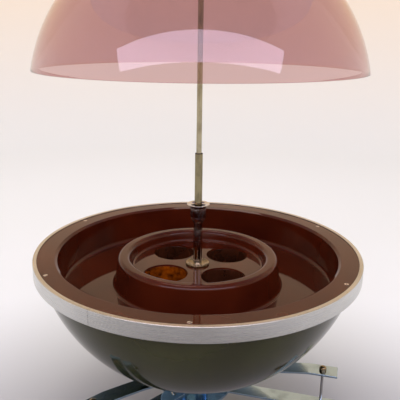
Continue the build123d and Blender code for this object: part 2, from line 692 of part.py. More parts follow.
# domed nuts that clamp the stems on the upper legs
with BuildPart() as cap_nuts:
    with BuildSketch(Plane.XY.offset(cap_nut_seat)):
        with PolarLocations(CASTOR_REACH, LEG_COUNT, LEG_AZIMUTH):
            Circle(CAP_NUT_RADIUS)
    extrude(amount=CAP_NUT_SKIRT + CAP_NUT_DOME)
    fillet(cap_nuts.edges().group_by(Axis.Z)[-1], CAP_NUT_DOME - CAP_NUT_CROWN_FLAT)
    with BuildSketch(Plane.XY.offset(cap_nut_seat)):
        with PolarLocations(CASTOR_REACH, LEG_COUNT, LEG_AZIMUTH):
            Circle(STEM_RADIUS + PRESS_FIT)
    extrude(amount=CAP_NUT_SKIRT + CAP_NUT_HOLE_SPARE, mode=Mode.SUBTRACT)
write(cap_nuts, "cap_nuts")

# ---- mast ---------------------------------------------------------------------------

# flanged socket on the bowl's floor that carries the mast
with BuildPart() as mast_foot:
    with BuildSketch(Plane.XY.offset(bowl_floor)):
        Circle(MAST_FOOT_RADIUS)
        with PolarLocations(HUB_BOLT_PITCH_RADIUS, LEG_COUNT, bolt_azimuth):
            Circle(HUB_BOLT_RADIUS + SCREW_CLEARANCE, mode=Mode.SUBTRACT)
    extrude(amount=MAST_FOOT_THICKNESS)
    with BuildSketch(Plane.XY.offset(mast_seat)):
        Circle(MAST_RADIUS + PRESS_FIT + MAST_SOCKET_WALL)
        Circle(MAST_RADIUS + PRESS_FIT, mode=Mode.SUBTRACT)
    extrude(amount=MAST_SOCKET_HEIGHT)
write(mast_foot, "mast_foot")

with BuildPart() as mast_tube:
    with BuildSketch(Plane.XY.offset(mast_seat)):
        Circle(MAST_RADIUS)
        Circle(mast_bore, mode=Mode.SUBTRACT)
    extrude(amount=mast_top - mast_seat)
write(mast_tube, "mast_tube")

# dished brass washer where the mast leaves the tray's recess
with BuildPart() as mast_escutcheon:
    with BuildSketch(Plane.XZ):
        with BuildLine():
            Polyline(
                (MAST_RADIUS + RUNNING_FIT, recess_floor + ESCUTCHEON_RIM),
                (MAST_RADIUS + RUNNING_FIT, recess_floor),
                (ESCUTCHEON_RADIUS, recess_floor),
                (ESCUTCHEON_RADIUS, recess_floor + ESCUTCHEON_HEIGHT),
            )
            Spline(
                (ESCUTCHEON_RADIUS, recess_floor + ESCUTCHEON_HEIGHT),
                (MAST_RADIUS + RUNNING_FIT, recess_floor + ESCUTCHEON_RIM),
                tangents=((-1, -0.9), (-1, 0)),
            )
        make_face()
    revolve(axis=Axis.Z)
write(mast_escutcheon, "mast_escutcheon")

# split nylon collet on the mast's end, which the collar squeezes on the middle tube
with BuildPart() as mast_collet:
    with BuildSketch(Plane.XY.offset(mast_top)):
        Circle(COLLET_RADIUS)
        Circle(MIDDLE_RADIUS + RUNNING_FIT, mode=Mode.SUBTRACT)
        with Locations((COLLET_RADIUS, 0)):
            Rectangle(2 * COLLET_RADIUS - MIDDLE_RADIUS, COLLET_SPLIT, mode=Mode.SUBTRACT)
    extrude(amount=collet_top - mast_top)
write(mast_collet, "mast_collet")

# locking collar: grip, flare and cup above, bored below for mast and collet
with BuildPart() as locking_collar:
    with BuildSketch(Plane.XZ):
        grip_top = collar_base + COLLAR_TAPER + COLLAR_GRIP_HEIGHT
        cup_lip_radius = COLLAR_FLARE_RADIUS - COLLAR_LIP_WIDTH
        with BuildLine():
            Polyline(
                (MAST_RADIUS + RUNNING_FIT, mast_top),
                (MAST_RADIUS + RUNNING_FIT, collar_base),
                (MAST_RADIUS + COLLAR_FOOT_WALL, collar_base),
            )
            Spline(
                (MAST_RADIUS + COLLAR_FOOT_WALL, collar_base),
                (COLLAR_GRIP_RADIUS, collar_base + COLLAR_TAPER),
                tangents=((0.5, 1), (0, 1)),
            )
            Line(
                (COLLAR_GRIP_RADIUS, collar_base + COLLAR_TAPER),
                (COLLAR_GRIP_RADIUS, grip_top),
            )
            Spline(
                (COLLAR_GRIP_RADIUS, grip_top),
                (COLLAR_FLARE_RADIUS, collar_top),
                tangents=((0, 1), (1, 0.3)),
            )
            Line((COLLAR_FLARE_RADIUS, collar_top), (cup_lip_radius, collar_top))
            Spline(
                (cup_lip_radius, collar_top),
                (COLLAR_CUP_RADIUS, grip_top),
                tangents=((-1, -0.3), (0, -1)),
            )
            Polyline(
                (COLLAR_CUP_RADIUS, grip_top),
                (COLLAR_CUP_RADIUS, collar_cup_floor),
                (MIDDLE_RADIUS + FREE_GAP, collar_cup_floor),
                (MIDDLE_RADIUS + FREE_GAP, collar_cup_floor - COLLAR_WEB),
                (COLLET_RADIUS + FREE_GAP, collar_cup_floor - COLLAR_WEB),
                (COLLET_RADIUS + FREE_GAP, mast_top),
                (MAST_RADIUS + RUNNING_FIT, mast_top),
            )
        make_face()
    revolve(axis=Axis.Z)
write(locking_collar, "locking_collar")

# middle tube with its glide below and the rod's bush in its mouth
with BuildPart() as middle_tube:
    with BuildSketch(Plane.XY.offset(middle_base)):
        Circle(MIDDLE_RADIUS)
        Circle(middle_bore, mode=Mode.SUBTRACT)
    extrude(amount=middle_length)
write(middle_tube, "middle_tube")

with BuildPart() as middle_glide:
    with BuildSketch(Plane.XY.offset(middle_base - GLIDE_LENGTH / 2)):
        Circle(mast_bore - RUNNING_FIT)
        Circle(ROD_RADIUS + FREE_GAP, mode=Mode.SUBTRACT)
    extrude(amount=GLIDE_LENGTH / 2)
    with BuildSketch(Plane.XY.offset(middle_base)):
        Circle(middle_bore - PRESS_FIT)
        Circle(ROD_RADIUS + FREE_GAP, mode=Mode.SUBTRACT)
    extrude(amount=GLIDE_LENGTH / 2)
write(middle_glide, "middle_glide")

with BuildPart() as rod_bush:
    with BuildSketch(Plane.XY.offset(middle_top - BUSH_LENGTH)):
        Circle(middle_bore - PRESS_FIT)
        Circle(ROD_RADIUS + RUNNING_FIT, mode=Mode.SUBTRACT)
    extrude(amount=BUSH_LENGTH)
    with BuildSketch(Plane.XY.offset(middle_top)):
        Circle(MIDDLE_RADIUS)
        Circle(ROD_RADIUS + RUNNING_FIT, mode=Mode.SUBTRACT)
    extrude(amount=BUSH_LIP)
    chamfer(rod_bush.edges().group_by(Axis.Z)[-1].sort_by(SortBy.RADIUS)[-1], BUSH_LIP / 2)
write(rod_bush, "rod_bush")

# glide on the rod's foot: it slides in the middle tube, and the rod turns in it
rod_glide_top = rod_base - PIVOT_GAP
with BuildPart() as rod_glide:
    with BuildSketch(Plane.XY.offset(rod_glide_top - ROD_GLIDE_LENGTH)):
        Circle(middle_bore - RUNNING_FIT)
        Circle(ROD_PIN_RADIUS + RUNNING_FIT, mode=Mode.SUBTRACT)
    extrude(amount=ROD_GLIDE_LENGTH)
write(rod_glide, "rod_glide")

# ---- lid ----------------------------------------------------------------------------

# rod: pin and riveted head at its foot, stud for the crown at its top
with BuildPart() as lid_rod:
    for base, top, rod_part_radius in (
        (rod_base - rod_end_length, rod_base - rod_end_length + ROD_HEAD_THICKNESS, ROD_HEAD_RADIUS),
        (rod_base - rod_end_length + ROD_HEAD_THICKNESS, rod_base, ROD_PIN_RADIUS),
        (rod_base, rod_shoulder, ROD_RADIUS),
        (rod_shoulder, knob_base + ROD_STUD_ENTRY, ROD_STUD_RADIUS),
    ):
        with BuildSketch(Plane.XY.offset(base)):
            Circle(rod_part_radius)
        extrude(amount=top - base)
write(lid_rod, "lid_rod")

# dome: an even shell, open below, bored at its crown
with BuildPart() as lid_dome:
    with BuildSketch(Plane.XZ):
        with BuildLine():
            rim_angle = angle_at(lid_rim, lid_centre, lid_radius)
            inner_angle = angle_at(lid_rim, lid_centre, lid_inner_radius)
            dome_outside = CenterArc((0, lid_centre), lid_radius, rim_angle, 90 - rim_angle)
            dome_inside = CenterArc((0, lid_centre), lid_inner_radius, inner_angle, 90 - inner_angle)
            Line(dome_outside @ 1, dome_inside @ 1)
            Line(dome_inside @ 0, dome_outside @ 0)
        make_face()
        fillet(vertices().group_by(Axis.Y)[0], LID_EDGE_FILLET)
    revolve(axis=Axis.Z)
    with BuildSketch(Plane.XY.offset(lid_underside - LID_WALL)):
        Circle(stud_hole_radius)
    extrude(amount=3 * LID_WALL, mode=Mode.SUBTRACT)
write(lid_dome, "lid_dome")

# rubber gasket, its top face lying on the dome's inside
with BuildPart() as crown_gasket:
    with BuildSketch(Plane.XZ):
        with BuildLine():
            gasket_face = crown_arc(
                lid_centre, lid_inner_radius, stud_hole_radius, CROWN_GASKET_RADIUS
            )
            Polyline(
                gasket_face @ 1,
                (stud_hole_radius, gasket_base),
                (CROWN_GASKET_RADIUS, gasket_base),
                gasket_face @ 0,
            )
        make_face()
    revolve(axis=Axis.Z)
write(crown_gasket, "crown_gasket")

with BuildPart() as crown_washer_inner:
    with BuildSketch(Plane.XY.offset(rod_shoulder)):
        Circle(CROWN_WASHER_RADIUS)
        Circle(stud_hole_radius, mode=Mode.SUBTRACT)
    extrude(amount=CROWN_WASHER_THICKNESS)
    rim_edge = crown_washer_inner.edges().group_by(Axis.Z)[0].sort_by(SortBy.RADIUS)[-1]
    chamfer(rim_edge, CROWN_WASHER_THICKNESS / 3)
write(crown_washer_inner, "crown_washer_inner")

# outer washer, its underside lying on the dome's outside
with BuildPart() as crown_washer_outer:
    with BuildSketch(Plane.XZ):
        with BuildLine():
            washer_face = crown_arc(
                lid_centre, lid_radius, stud_hole_radius, CROWN_WASHER_RADIUS
            )
            Polyline(
                washer_face @ 1,
                (stud_hole_radius, knob_base),
                (CROWN_WASHER_RADIUS - CROWN_WASHER_THICKNESS, knob_base),
                washer_face @ 0,
            )
        make_face()
    revolve(axis=Axis.Z)
write(crown_washer_outer, "crown_washer_outer")

# knob: a turned mushroom on a narrow neck, blind-bored for the rod's stud
with BuildPart() as lid_knob:
    with BuildSketch(Plane.XZ):
        knob_waist = (KNOB_RADIUS, knob_base + KNOB_WAIST_HEIGHT)
        with BuildLine():
            Spline((KNOB_NECK_RADIUS, knob_base), knob_waist, tangents=((0, 1), (0.1, 1)))
            Spline(knob_waist, (0, knob_base + KNOB_HEIGHT), tangents=((-0.1, 1), (-1, 0)))
            Polyline(
                (0, knob_base + KNOB_HEIGHT),
                (0, knob_base + ROD_STUD_ENTRY + STUD_HOLE_SPARE),
                (ROD_STUD_RADIUS + PRESS_FIT, knob_base + ROD_STUD_ENTRY + STUD_HOLE_SPARE),
                (ROD_STUD_RADIUS + PRESS_FIT, knob_base),
                (KNOB_NECK_RADIUS, knob_base),
            )
        make_face()
    revolve(axis=Axis.Z)
write(lid_knob, "lid_knob")
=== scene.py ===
"""Looks of the globe drinks bar: every visible surface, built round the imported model."""

import logging
import math
from dataclasses import dataclass
from enum import Enum

import bpy
from mathutils import Matrix, Vector


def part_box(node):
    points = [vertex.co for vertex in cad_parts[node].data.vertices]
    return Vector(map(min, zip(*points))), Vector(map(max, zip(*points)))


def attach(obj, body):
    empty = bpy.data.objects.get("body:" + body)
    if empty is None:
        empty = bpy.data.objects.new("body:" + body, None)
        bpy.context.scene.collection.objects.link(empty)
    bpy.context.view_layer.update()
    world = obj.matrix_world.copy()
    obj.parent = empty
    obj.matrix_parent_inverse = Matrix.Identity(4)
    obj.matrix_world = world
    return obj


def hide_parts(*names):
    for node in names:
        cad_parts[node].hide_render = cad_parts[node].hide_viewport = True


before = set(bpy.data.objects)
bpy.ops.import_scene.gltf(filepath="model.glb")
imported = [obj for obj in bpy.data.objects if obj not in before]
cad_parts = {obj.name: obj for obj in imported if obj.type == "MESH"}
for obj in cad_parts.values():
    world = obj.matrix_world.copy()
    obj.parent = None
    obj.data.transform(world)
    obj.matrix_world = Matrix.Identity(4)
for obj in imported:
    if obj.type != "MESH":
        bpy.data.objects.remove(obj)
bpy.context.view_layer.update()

MM = 0.001
MERGE_DISTANCE = 1e-6
RING_STEPS = 256
SMALL_STEPS = 96
TUBE_STEPS = 64
SCREW_STEPS = 32
HOLE_SIDES = 128

log = logging.getLogger("globe_bar")

Point = tuple[float, float]
Corner = tuple[float, float, float]


# ---- small tools -----------------------------------------------------------------


def linear(hex_colour: str) -> tuple[float, float, float, float]:
    """Turn an sRGB hex colour to linear light.

    Args:
        hex_colour: six hex digits, such as "c8b496".

    Returns:
        Red, green, blue and an alpha of one.
    """
    values = [int(hex_colour[i:i + 2], 16) / 255 for i in (0, 2, 4)]
    light = [v / 12.92 if v <= 0.04045 else ((v + 0.055) / 1.055) ** 2.4 for v in values]
    return (light[0], light[1], light[2], 1.0)


def add_node(
    tree: bpy.types.NodeTree, kind: str, settings: dict | None = None, inputs: dict | None = None
) -> bpy.types.Node:
    """Add a shader node with its settings, values and links.

    Args:
        tree: the node tree that gets the node.
        kind: the node's type name, such as "ShaderNodeTexNoise".
        settings: attribute names and values.
        inputs: socket names or numbers, each with a value or the socket that feeds it.

    Returns:
        The new node.
    """
    node = tree.nodes.new(kind)
    for name, value in (settings or {}).items():
        setattr(node, name, value)
    for name, value in (inputs or {}).items():
        if isinstance(value, bpy.types.NodeSocket):
            tree.links.new(value, node.inputs[name])
        else:
            node.inputs[name].default_value = value
    return node


def deselect_all() -> None:
    """Leave nothing selected and nothing active, in object mode."""
    for item in bpy.context.selected_objects:
        item.select_set(False)
    bpy.context.view_layer.objects.active = None


def make_active(piece: bpy.types.Object) -> None:
    """Select one object alone and make it active."""
    deselect_all()
    piece.select_set(True)
    bpy.context.view_layer.objects.active = piece


def settle(piece: bpy.types.Object, smooth_angle: float = 30.0) -> bpy.types.Object:
    """Apply a piece's place, point its faces outwards and smooth its shading.

    Args:
        piece: a closed mesh.
        smooth_angle: edges bent by less than this many degrees are shaded smooth.

    Returns:
        The same piece.
    """
    make_active(piece)
    bpy.ops.object.transform_apply(location=True, rotation=True, scale=True)
    bpy.ops.object.mode_set(mode="EDIT")
    bpy.ops.mesh.select_all(action="SELECT")
    bpy.ops.mesh.remove_doubles(threshold=MERGE_DISTANCE)
    bpy.ops.mesh.normals_make_consistent(inside=False)
    bpy.ops.object.mode_set(mode="OBJECT")
    bpy.ops.object.shade_smooth_by_angle(angle=math.radians(smooth_angle))
    return piece


def joined(name: str, parts: list[bpy.types.Object]) -> bpy.types.Object:
    """Join several meshes into one piece.

    Args:
        name: the piece's name.
        parts: the meshes, of which the first keeps its place.

    Returns:
        The joined piece.
    """
    make_active(parts[0])
    for part in parts[1:]:
        part.select_set(True)
    bpy.ops.object.join()
    parts[0].name = name
    return parts[0]


def copied(piece: bpy.types.Object, name: str) -> bpy.types.Object:
    """Copy a piece with a mesh of its own.

    Args:
        piece: the piece to copy.
        name: the copy's name.

    Returns:
        The copy.
    """
    make_active(piece)
    bpy.ops.object.duplicate(linked=False)
    twin = bpy.context.active_object
    twin.name = name
    return twin


def turned_about_mast(piece: bpy.types.Object, degrees: float) -> bpy.types.Object:
    """Turn a piece's mesh about the mast's axis.

    Args:
        piece: a piece whose object sits at the origin.
        degrees: the turn, counter-clockwise from above.

    Returns:
        The same piece.
    """
    piece.data.transform(Matrix.Rotation(math.radians(degrees), 4, "Z"))
    return piece


def carved(piece: bpy.types.Object, cutter: bpy.types.Object) -> bpy.types.Object:
    """Cut one closed mesh out of another and remove the cutter.

    Args:
        piece: the mesh that is cut.
        cutter: the mesh that cuts.

    Returns:
        The cut piece.
    """
    make_active(piece)
    cut = piece.modifiers.new("carve", "BOOLEAN")
    cut.operation = "DIFFERENCE"
    cut.solver = "EXACT"
    cut.object = cutter
    bpy.ops.object.modifier_apply(modifier=cut.name)
    bpy.data.objects.remove(cutter, do_unlink=True)
    return piece


def arc_points(centre: Point, radius: float, start: float, end: float, step: float = 4.0) -> list[Point]:
    """Points along a round stretch of an outline.

    Args:
        centre: the arc's centre, as reach and height.
        radius: its radius.
        start: its first angle in degrees, from level.
        end: its last angle in degrees.
        step: the most degrees between two points.

    Returns:
        The points from start to end.
    """
    count = max(2, math.ceil(abs(end - start) / step))
    angles = [math.radians(start + (end - start) * i / count) for i in range(count + 1)]
    return [(centre[0] + radius * math.cos(a), centre[1] + radius * math.sin(a)) for a in angles]


def flare(start: Point, end: Point, shares: list[float]) -> list[Point]:
    """Points of a quarter curve that leaves its start upright and reaches its end level.

    Args:
        start: the curve's first end, as reach and height.
        end: its other end.
        shares: how far along the curve each point lies, from 0 to 1.

    Returns:
        One point for each share.
    """
    spread, rise = end[0] - start[0], end[1] - start[1]
    angles = [share * math.pi / 2 for share in shares]
    return [(start[0] + spread * (1 - math.cos(a)), start[1] + rise * math.sin(a)) for a in angles]


def rounded(
    corners: list[Corner], closed: bool, step: float = 10.0, support: float = 1.2 * MM
) -> list[Point]:
    """Outline through corners, each rounded to its own radius.

    A point is added a little before and after each round, so that flats stay flat
    when their shading is smoothed.

    Args:
        corners: reach, height and radius of each corner.
        closed: whether the last corner joins the first.
        step: the most degrees between two points of a round.
        support: distance of the added points from a round.

    Returns:
        The outline's points.
    """
    points: list[Point] = []
    count = len(corners)
    for i, (reach, height, radius) in enumerate(corners):
        here = Vector((reach, height))
        if radius == 0 or (not closed and i in (0, count - 1)):
            points.append((reach, height))
            continue
        before = Vector(corners[i - 1][:2]) - here
        after = Vector(corners[(i + 1) % count][:2]) - here
        half = before.angle(after) / 2
        run = radius / math.tan(half)
        towards_before, towards_after = before.normalized(), after.normalized()
        centre = here + (towards_before + towards_after).normalized() * radius / math.sin(half)
        first = here + towards_before * run - centre
        last = here + towards_after * run - centre
        turn = first.angle_signed(last)
        pieces = max(2, math.ceil(math.degrees(abs(turn)) / step))
        if before.length > run + 2 * support:
            points.append(tuple(here + towards_before * (run + support)))
        for k in range(pieces + 1):
            spoke = Matrix.Rotation(-turn * k / pieces, 2) @ first
            points.append(tuple(centre + spoke))
        if after.length > run + 2 * support:
            points.append(tuple(here + towards_after * (run + support)))
    return points


def turned(
    name: str,
    outline: list[Point],
    closed: bool = True,
    steps: int = RING_STEPS,
    start: float = 0.0,
    sweep: float = 360.0,
    smooth_angle: float = 30.0,
) -> bpy.types.Object:
    """Turn an outline about the mast's axis, as on a lathe.

    Args:
        name: the piece's name.
        outline: points as reach and height, which may start and end on the axis.
        closed: whether the outline's end is joined to its start.
        steps: faces round a full turn.
        start: the azimuth where the turn starts, in degrees.
        sweep: how far it goes, in degrees.
        smooth_angle: passed on to the smoothing.

    Returns:
        The turned piece.
    """
    deselect_all()
    first = outline[0]
    bpy.ops.mesh.primitive_plane_add(size=MM, location=(first[0], 0, first[1]))
    piece = bpy.context.active_object
    piece.name = name
    bpy.ops.object.transform_apply(location=True)
    bpy.ops.object.mode_set(mode="EDIT")
    bpy.ops.mesh.select_all(action="SELECT")
    bpy.ops.mesh.merge(type="CENTER")
    path = outline[1:] + ([first] if closed else [])
    here = first
    for there in path:
        step = (there[0] - here[0], 0, there[1] - here[1])
        bpy.ops.mesh.extrude_region_move(TRANSFORM_OT_translate={"value": step})
        here = there
    bpy.ops.mesh.select_all(action="SELECT")
    bpy.ops.mesh.remove_doubles(threshold=MERGE_DISTANCE)
    bpy.ops.object.mode_set(mode="OBJECT")
    turned_about_mast(piece, start)
    bpy.ops.object.mode_set(mode="EDIT")
    bpy.ops.mesh.select_all(action="SELECT")
    bpy.ops.mesh.spin(steps=steps, angle=math.radians(sweep), center=(0, 0, 0), axis=(0, 0, 1))
    bpy.ops.mesh.select_all(action="SELECT")
    bpy.ops.mesh.remove_doubles(threshold=MERGE_DISTANCE)
    if sweep < 360:
        bpy.ops.mesh.select_all(action="DESELECT")
        bpy.ops.mesh.select_non_manifold()
        bpy.ops.mesh.fill_holes(sides=len(outline) + 2)
    bpy.ops.object.mode_set(mode="OBJECT")
    return settle(piece, smooth_angle)


def placed(piece: bpy.types.Object, offset: Vector) -> bpy.types.Object:
    """Move a piece's mesh by an offset, leaving its object at the origin."""
    piece.data.transform(Matrix.Translation(offset))
    return piece


def dress(
    piece: bpy.types.Object, finish: bpy.types.Material, body: str, nodes: tuple[str, ...]
) -> None:
    """Give a new piece its finish, body and the CAD nodes that it stands for.

    Args:
        piece: the finished piece.
        finish: its material.
        body: the CAD body that carries it.
        nodes: the CAD nodes that it replaces.
    """
    piece.data.materials.clear()
    piece.data.materials.append(finish)
    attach(piece, body)
    if nodes:
        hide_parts(*nodes)
    log.info("%s rides on %s, for %s", piece.name, body, ", ".join(nodes) or "no node")


def repaint(node: str, finish: bpy.types.Material) -> None:
    """Give a carried-over CAD node a better material."""
    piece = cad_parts[node]
    for slot in piece.material_slots:
        slot.material = finish
    log.info("%s keeps its CAD shape", node)


# ---- finishes --------------------------------------------------------------------


def new_material(name: str) -> tuple[bpy.types.Material, bpy.types.NodeTree, bpy.types.NodeSocket]:
    """Start an empty node material.

    Args:
        name: the material's name.

    Returns:
        The material, its tree and the surface socket of its output.
    """
    material = bpy.data.materials.new(name)
    material.use_nodes = True
    tree = material.node_tree
    tree.nodes.clear()
    output = add_node(tree, "ShaderNodeOutputMaterial")
    return material, tree, output.inputs["Surface"]


def object_place(tree: bpy.types.NodeTree, scale: Point | tuple[float, float, float]) -> bpy.types.NodeSocket:
    """Object coordinates stretched by a scale, for a pattern fixed to the piece.

    Args:
        tree: the material's tree.
        scale: the stretch along X, Y and Z, per metre.

    Returns:
        The stretched coordinates.
    """
    place = add_node(tree, "ShaderNodeTexCoord")
    stretched = add_node(
        tree, "ShaderNodeMapping", inputs={"Vector": place.outputs["Object"], "Scale": scale}
    )
    return stretched.outputs["Vector"]


@dataclass(frozen=True)
class BrushedAluminium:
    """Extruded aluminium brushed along its length.

    The brush leaves fine scratches that all run round the band, so light smears up
    and down it, and years of hands have left softer, cloudier patches.
    """

    name: str = "brushed_aluminium"
    bright: str = "d3d3cf"
    cloudy: str = "aaa9a2"
    roughness: float = 0.24
    scratch_spacing: float = 0.6 * MM
    scratch_length: float = 100 * MM
    cloud_size: float = 111.11 * MM

    def build(self) -> bpy.types.Material:
        """Make the material."""
        material, tree, surface = new_material(self.name)
        place = add_node(tree, "ShaderNodeTexCoord")
        parts = add_node(tree, "ShaderNodeSeparateXYZ", inputs={0: place.outputs["Object"]})
        across = add_node(
            tree, "ShaderNodeCombineXYZ", inputs={0: parts.outputs[0], 1: parts.outputs[1], 2: 0.0}
        )
        reach = add_node(
            tree, "ShaderNodeVectorMath", {"operation": "LENGTH"}, {0: across.outputs[0]}
        )
        lane = add_node(
            tree, "ShaderNodeMath", {"operation": "ADD"}, {0: reach.outputs["Value"], 1: parts.outputs[2]}
        )
        dense = add_node(
            tree, "ShaderNodeMath", {"operation": "MULTIPLY"},
            {0: lane.outputs[0], 1: self.scratch_length / self.scratch_spacing},
        )
        brushed = add_node(
            tree, "ShaderNodeCombineXYZ",
            inputs={0: parts.outputs[0], 1: parts.outputs[1], 2: dense.outputs[0]},
        )
        scratches = add_node(
            tree, "ShaderNodeTexNoise",
            inputs={"Vector": brushed.outputs[0], "Scale": 1 / self.scratch_length, "Detail": 4.0},
        )
        clouds = add_node(
            tree, "ShaderNodeTexNoise",
            inputs={"Vector": object_place(tree, (1, 1, 2)), "Scale": 1 / self.cloud_size, "Detail": 3.0},
        )
        colour = add_node(
            tree, "ShaderNodeMix", {"data_type": "RGBA"},
            {0: clouds.outputs["Fac"], 6: linear(self.cloudy), 7: linear(self.bright)},
        )
        rough = add_node(
            tree, "ShaderNodeMapRange",
            inputs={0: scratches.outputs["Fac"], 1: 0.3, 2: 0.7,
                    3: self.roughness - 0.06, 4: self.roughness + 0.1},
        )
        bump = add_node(
            tree, "ShaderNodeBump",
            inputs={"Height": scratches.outputs["Fac"], "Strength": 0.12, "Distance": 0.2 * MM},
        )
        shader = add_node(
            tree, "ShaderNodeBsdfPrincipled",
            inputs={"Base Color": colour.outputs[2], "Metallic": 1.0,
                    "Roughness": rough.outputs[0], "Normal": bump.outputs[0]},
        )
        tree.links.new(shader.outputs[0], surface)
        return material


@dataclass(frozen=True)
class PolishedMetal:
    """Plated or solid metal polished to a mirror, with wiped smears and dulled spots.

    The polish gives sharp reflections, and the smears blur them a little in patches.
    """

    name: str
    colour: str
    dull_colour: str
    roughness: float = 0.06
    smear_roughness: float = 0.2
    smear_size: float = 25 * MM

    def build(self) -> bpy.types.Material:
        """Make the material."""
        material, tree, surface = new_material(self.name)
        smears = add_node(
            tree, "ShaderNodeTexNoise",
            inputs={"Vector": object_place(tree, (1, 1, 0.5)), "Scale": 1 / self.smear_size, "Detail": 5.0},
        )
        patch = add_node(
            tree, "ShaderNodeMapRange",
            inputs={0: smears.outputs["Fac"], 1: 0.45, 2: 0.75, 3: 0.0, 4: 1.0},
        )
        colour = add_node(
            tree, "ShaderNodeMix", {"data_type": "RGBA"},
            {0: patch.outputs[0], 6: linear(self.colour), 7: linear(self.dull_colour)},
        )
        rough = add_node(
            tree, "ShaderNodeMapRange",
            inputs={0: patch.outputs[0], 1: 0.0, 2: 1.0, 3: self.roughness, 4: self.smear_roughness},
        )
        shader = add_node(
            tree, "ShaderNodeBsdfPrincipled",
            inputs={"Base Color": colour.outputs[2], "Metallic": 1.0, "Roughness": rough.outputs[0]},
        )
        tree.links.new(shader.outputs[0], surface)
        return material


@dataclass(frozen=True)
class GlossPlastic:
    """Moulded plastic with a polished skin over a slightly streaked colour.

    The mould leaves a glassy skin with a faint orange-peel ripple, fine wiping
    scratches that show as soft dull patches, and colour that drifts through the wall.
    """

    name: str
    colour: str
    drift_colour: str
    roughness: float = 0.05
    scuff_roughness: float = 0.16
    drift_size: float = 90 * MM
    scuff_size: float = 18.18 * MM
    peel_size: float = 4.545 * MM
    ripple: float = 0.03
    specular: float = 0.5

    def build(self) -> bpy.types.Material:
        """Make the material."""
        material, tree, surface = new_material(self.name)
        place = object_place(tree, (1, 1, 1))
        drift = add_node(
            tree, "ShaderNodeTexNoise",
            inputs={"Vector": place, "Scale": 1 / self.drift_size, "Detail": 3.0},
        )
        share = add_node(
            tree, "ShaderNodeMapRange", inputs={0: drift.outputs["Fac"], 1: 0.35, 2: 0.65, 3: 0.0, 4: 1.0}
        )
        colour = add_node(
            tree, "ShaderNodeMix", {"data_type": "RGBA"},
            {0: share.outputs[0], 6: linear(self.colour), 7: linear(self.drift_colour)},
        )
        scuffs = add_node(
            tree, "ShaderNodeTexNoise",
            inputs={"Vector": place, "Scale": 1 / self.scuff_size, "Detail": 6.0},
        )
        rough = add_node(
            tree, "ShaderNodeMapRange",
            inputs={0: scuffs.outputs["Fac"], 1: 0.5, 2: 0.8,
                    3: self.roughness, 4: self.scuff_roughness},
        )
        peel = add_node(
            tree, "ShaderNodeTexNoise",
            inputs={"Vector": place, "Scale": 1 / self.peel_size, "Detail": 1.0},
        )
        bump = add_node(
            tree, "ShaderNodeBump",
            inputs={"Height": peel.outputs["Fac"], "Strength": self.ripple, "Distance": 0.3 * MM},
        )
        shader = add_node(
            tree, "ShaderNodeBsdfPrincipled",
            inputs={"Base Color": colour.outputs[2], "Roughness": rough.outputs[0],
                    "IOR": 1.5, "Specular IOR Level": self.specular, "Normal": bump.outputs[0]},
        )
        tree.links.new(shader.outputs[0], surface)
        return material


@dataclass(frozen=True)
class TintedAcrylic:
    """Clear acrylic sheet blown into a dome, tinted rose all through.

    Each wall takes out some blue and green, both faces mirror the room faintly, and
    handling has left hair-fine scratches and specks.
    """

    name: str = "rose_acrylic"
    tint: str = "d9bfc3"
    roughness: float = 0.0
    haze_roughness: float = 0.05
    haze_size: float = 71.43 * MM

    def build(self) -> bpy.types.Material:
        """Make the material."""
        material, tree, surface = new_material(self.name)
        place = object_place(tree, (1, 1, 1))
        haze = add_node(
            tree, "ShaderNodeTexNoise",
            inputs={"Vector": place, "Scale": 1 / self.haze_size, "Detail": 6.0},
        )
        rough = add_node(
            tree, "ShaderNodeMapRange",
            inputs={0: haze.outputs["Fac"], 1: 0.55, 2: 0.85,
                    3: self.roughness, 4: self.haze_roughness},
        )
        shader = add_node(
            tree, "ShaderNodeBsdfPrincipled",
            inputs={"Base Color": linear(self.tint), "Roughness": rough.outputs[0],
                    "IOR": 1.49, "Transmission Weight": 1.0},
        )
        tree.links.new(shader.outputs[0], surface)
        return material


@dataclass(frozen=True)
class DullMoulding:
    """Moulded nylon or rubber: dark, low sheen, with a fine grain and dust in it."""

    name: str
    colour: str
    dust_colour: str
    roughness: float = 0.55
    grain_size: float = 1.5 * MM
    dust_size: float = 16.667 * MM

    def build(self) -> bpy.types.Material:
        """Make the material."""
        material, tree, surface = new_material(self.name)
        place = object_place(tree, (1, 1, 1))
        dust = add_node(
            tree, "ShaderNodeTexNoise",
            inputs={"Vector": place, "Scale": 1 / self.dust_size, "Detail": 6.0},
        )
        share = add_node(
            tree, "ShaderNodeMapRange", inputs={0: dust.outputs["Fac"], 1: 0.5, 2: 0.75, 3: 0.0, 4: 0.6}
        )
        colour = add_node(
            tree, "ShaderNodeMix", {"data_type": "RGBA"},
            {0: share.outputs[0], 6: linear(self.colour), 7: linear(self.dust_colour)},
        )
        grain = add_node(
            tree, "ShaderNodeTexNoise",
            inputs={"Vector": place, "Scale": 1 / self.grain_size, "Detail": 2.0},
        )
        bump = add_node(
            tree, "ShaderNodeBump",
            inputs={"Height": grain.outputs["Fac"], "Strength": 0.2, "Distance": 0.2 * MM},
        )
        shader = add_node(
            tree, "ShaderNodeBsdfPrincipled",
            inputs={"Base Color": colour.outputs[2], "Roughness": self.roughness,
                    "Normal": bump.outputs[0]},
        )
        tree.links.new(shader.outputs[0], surface)
        return material


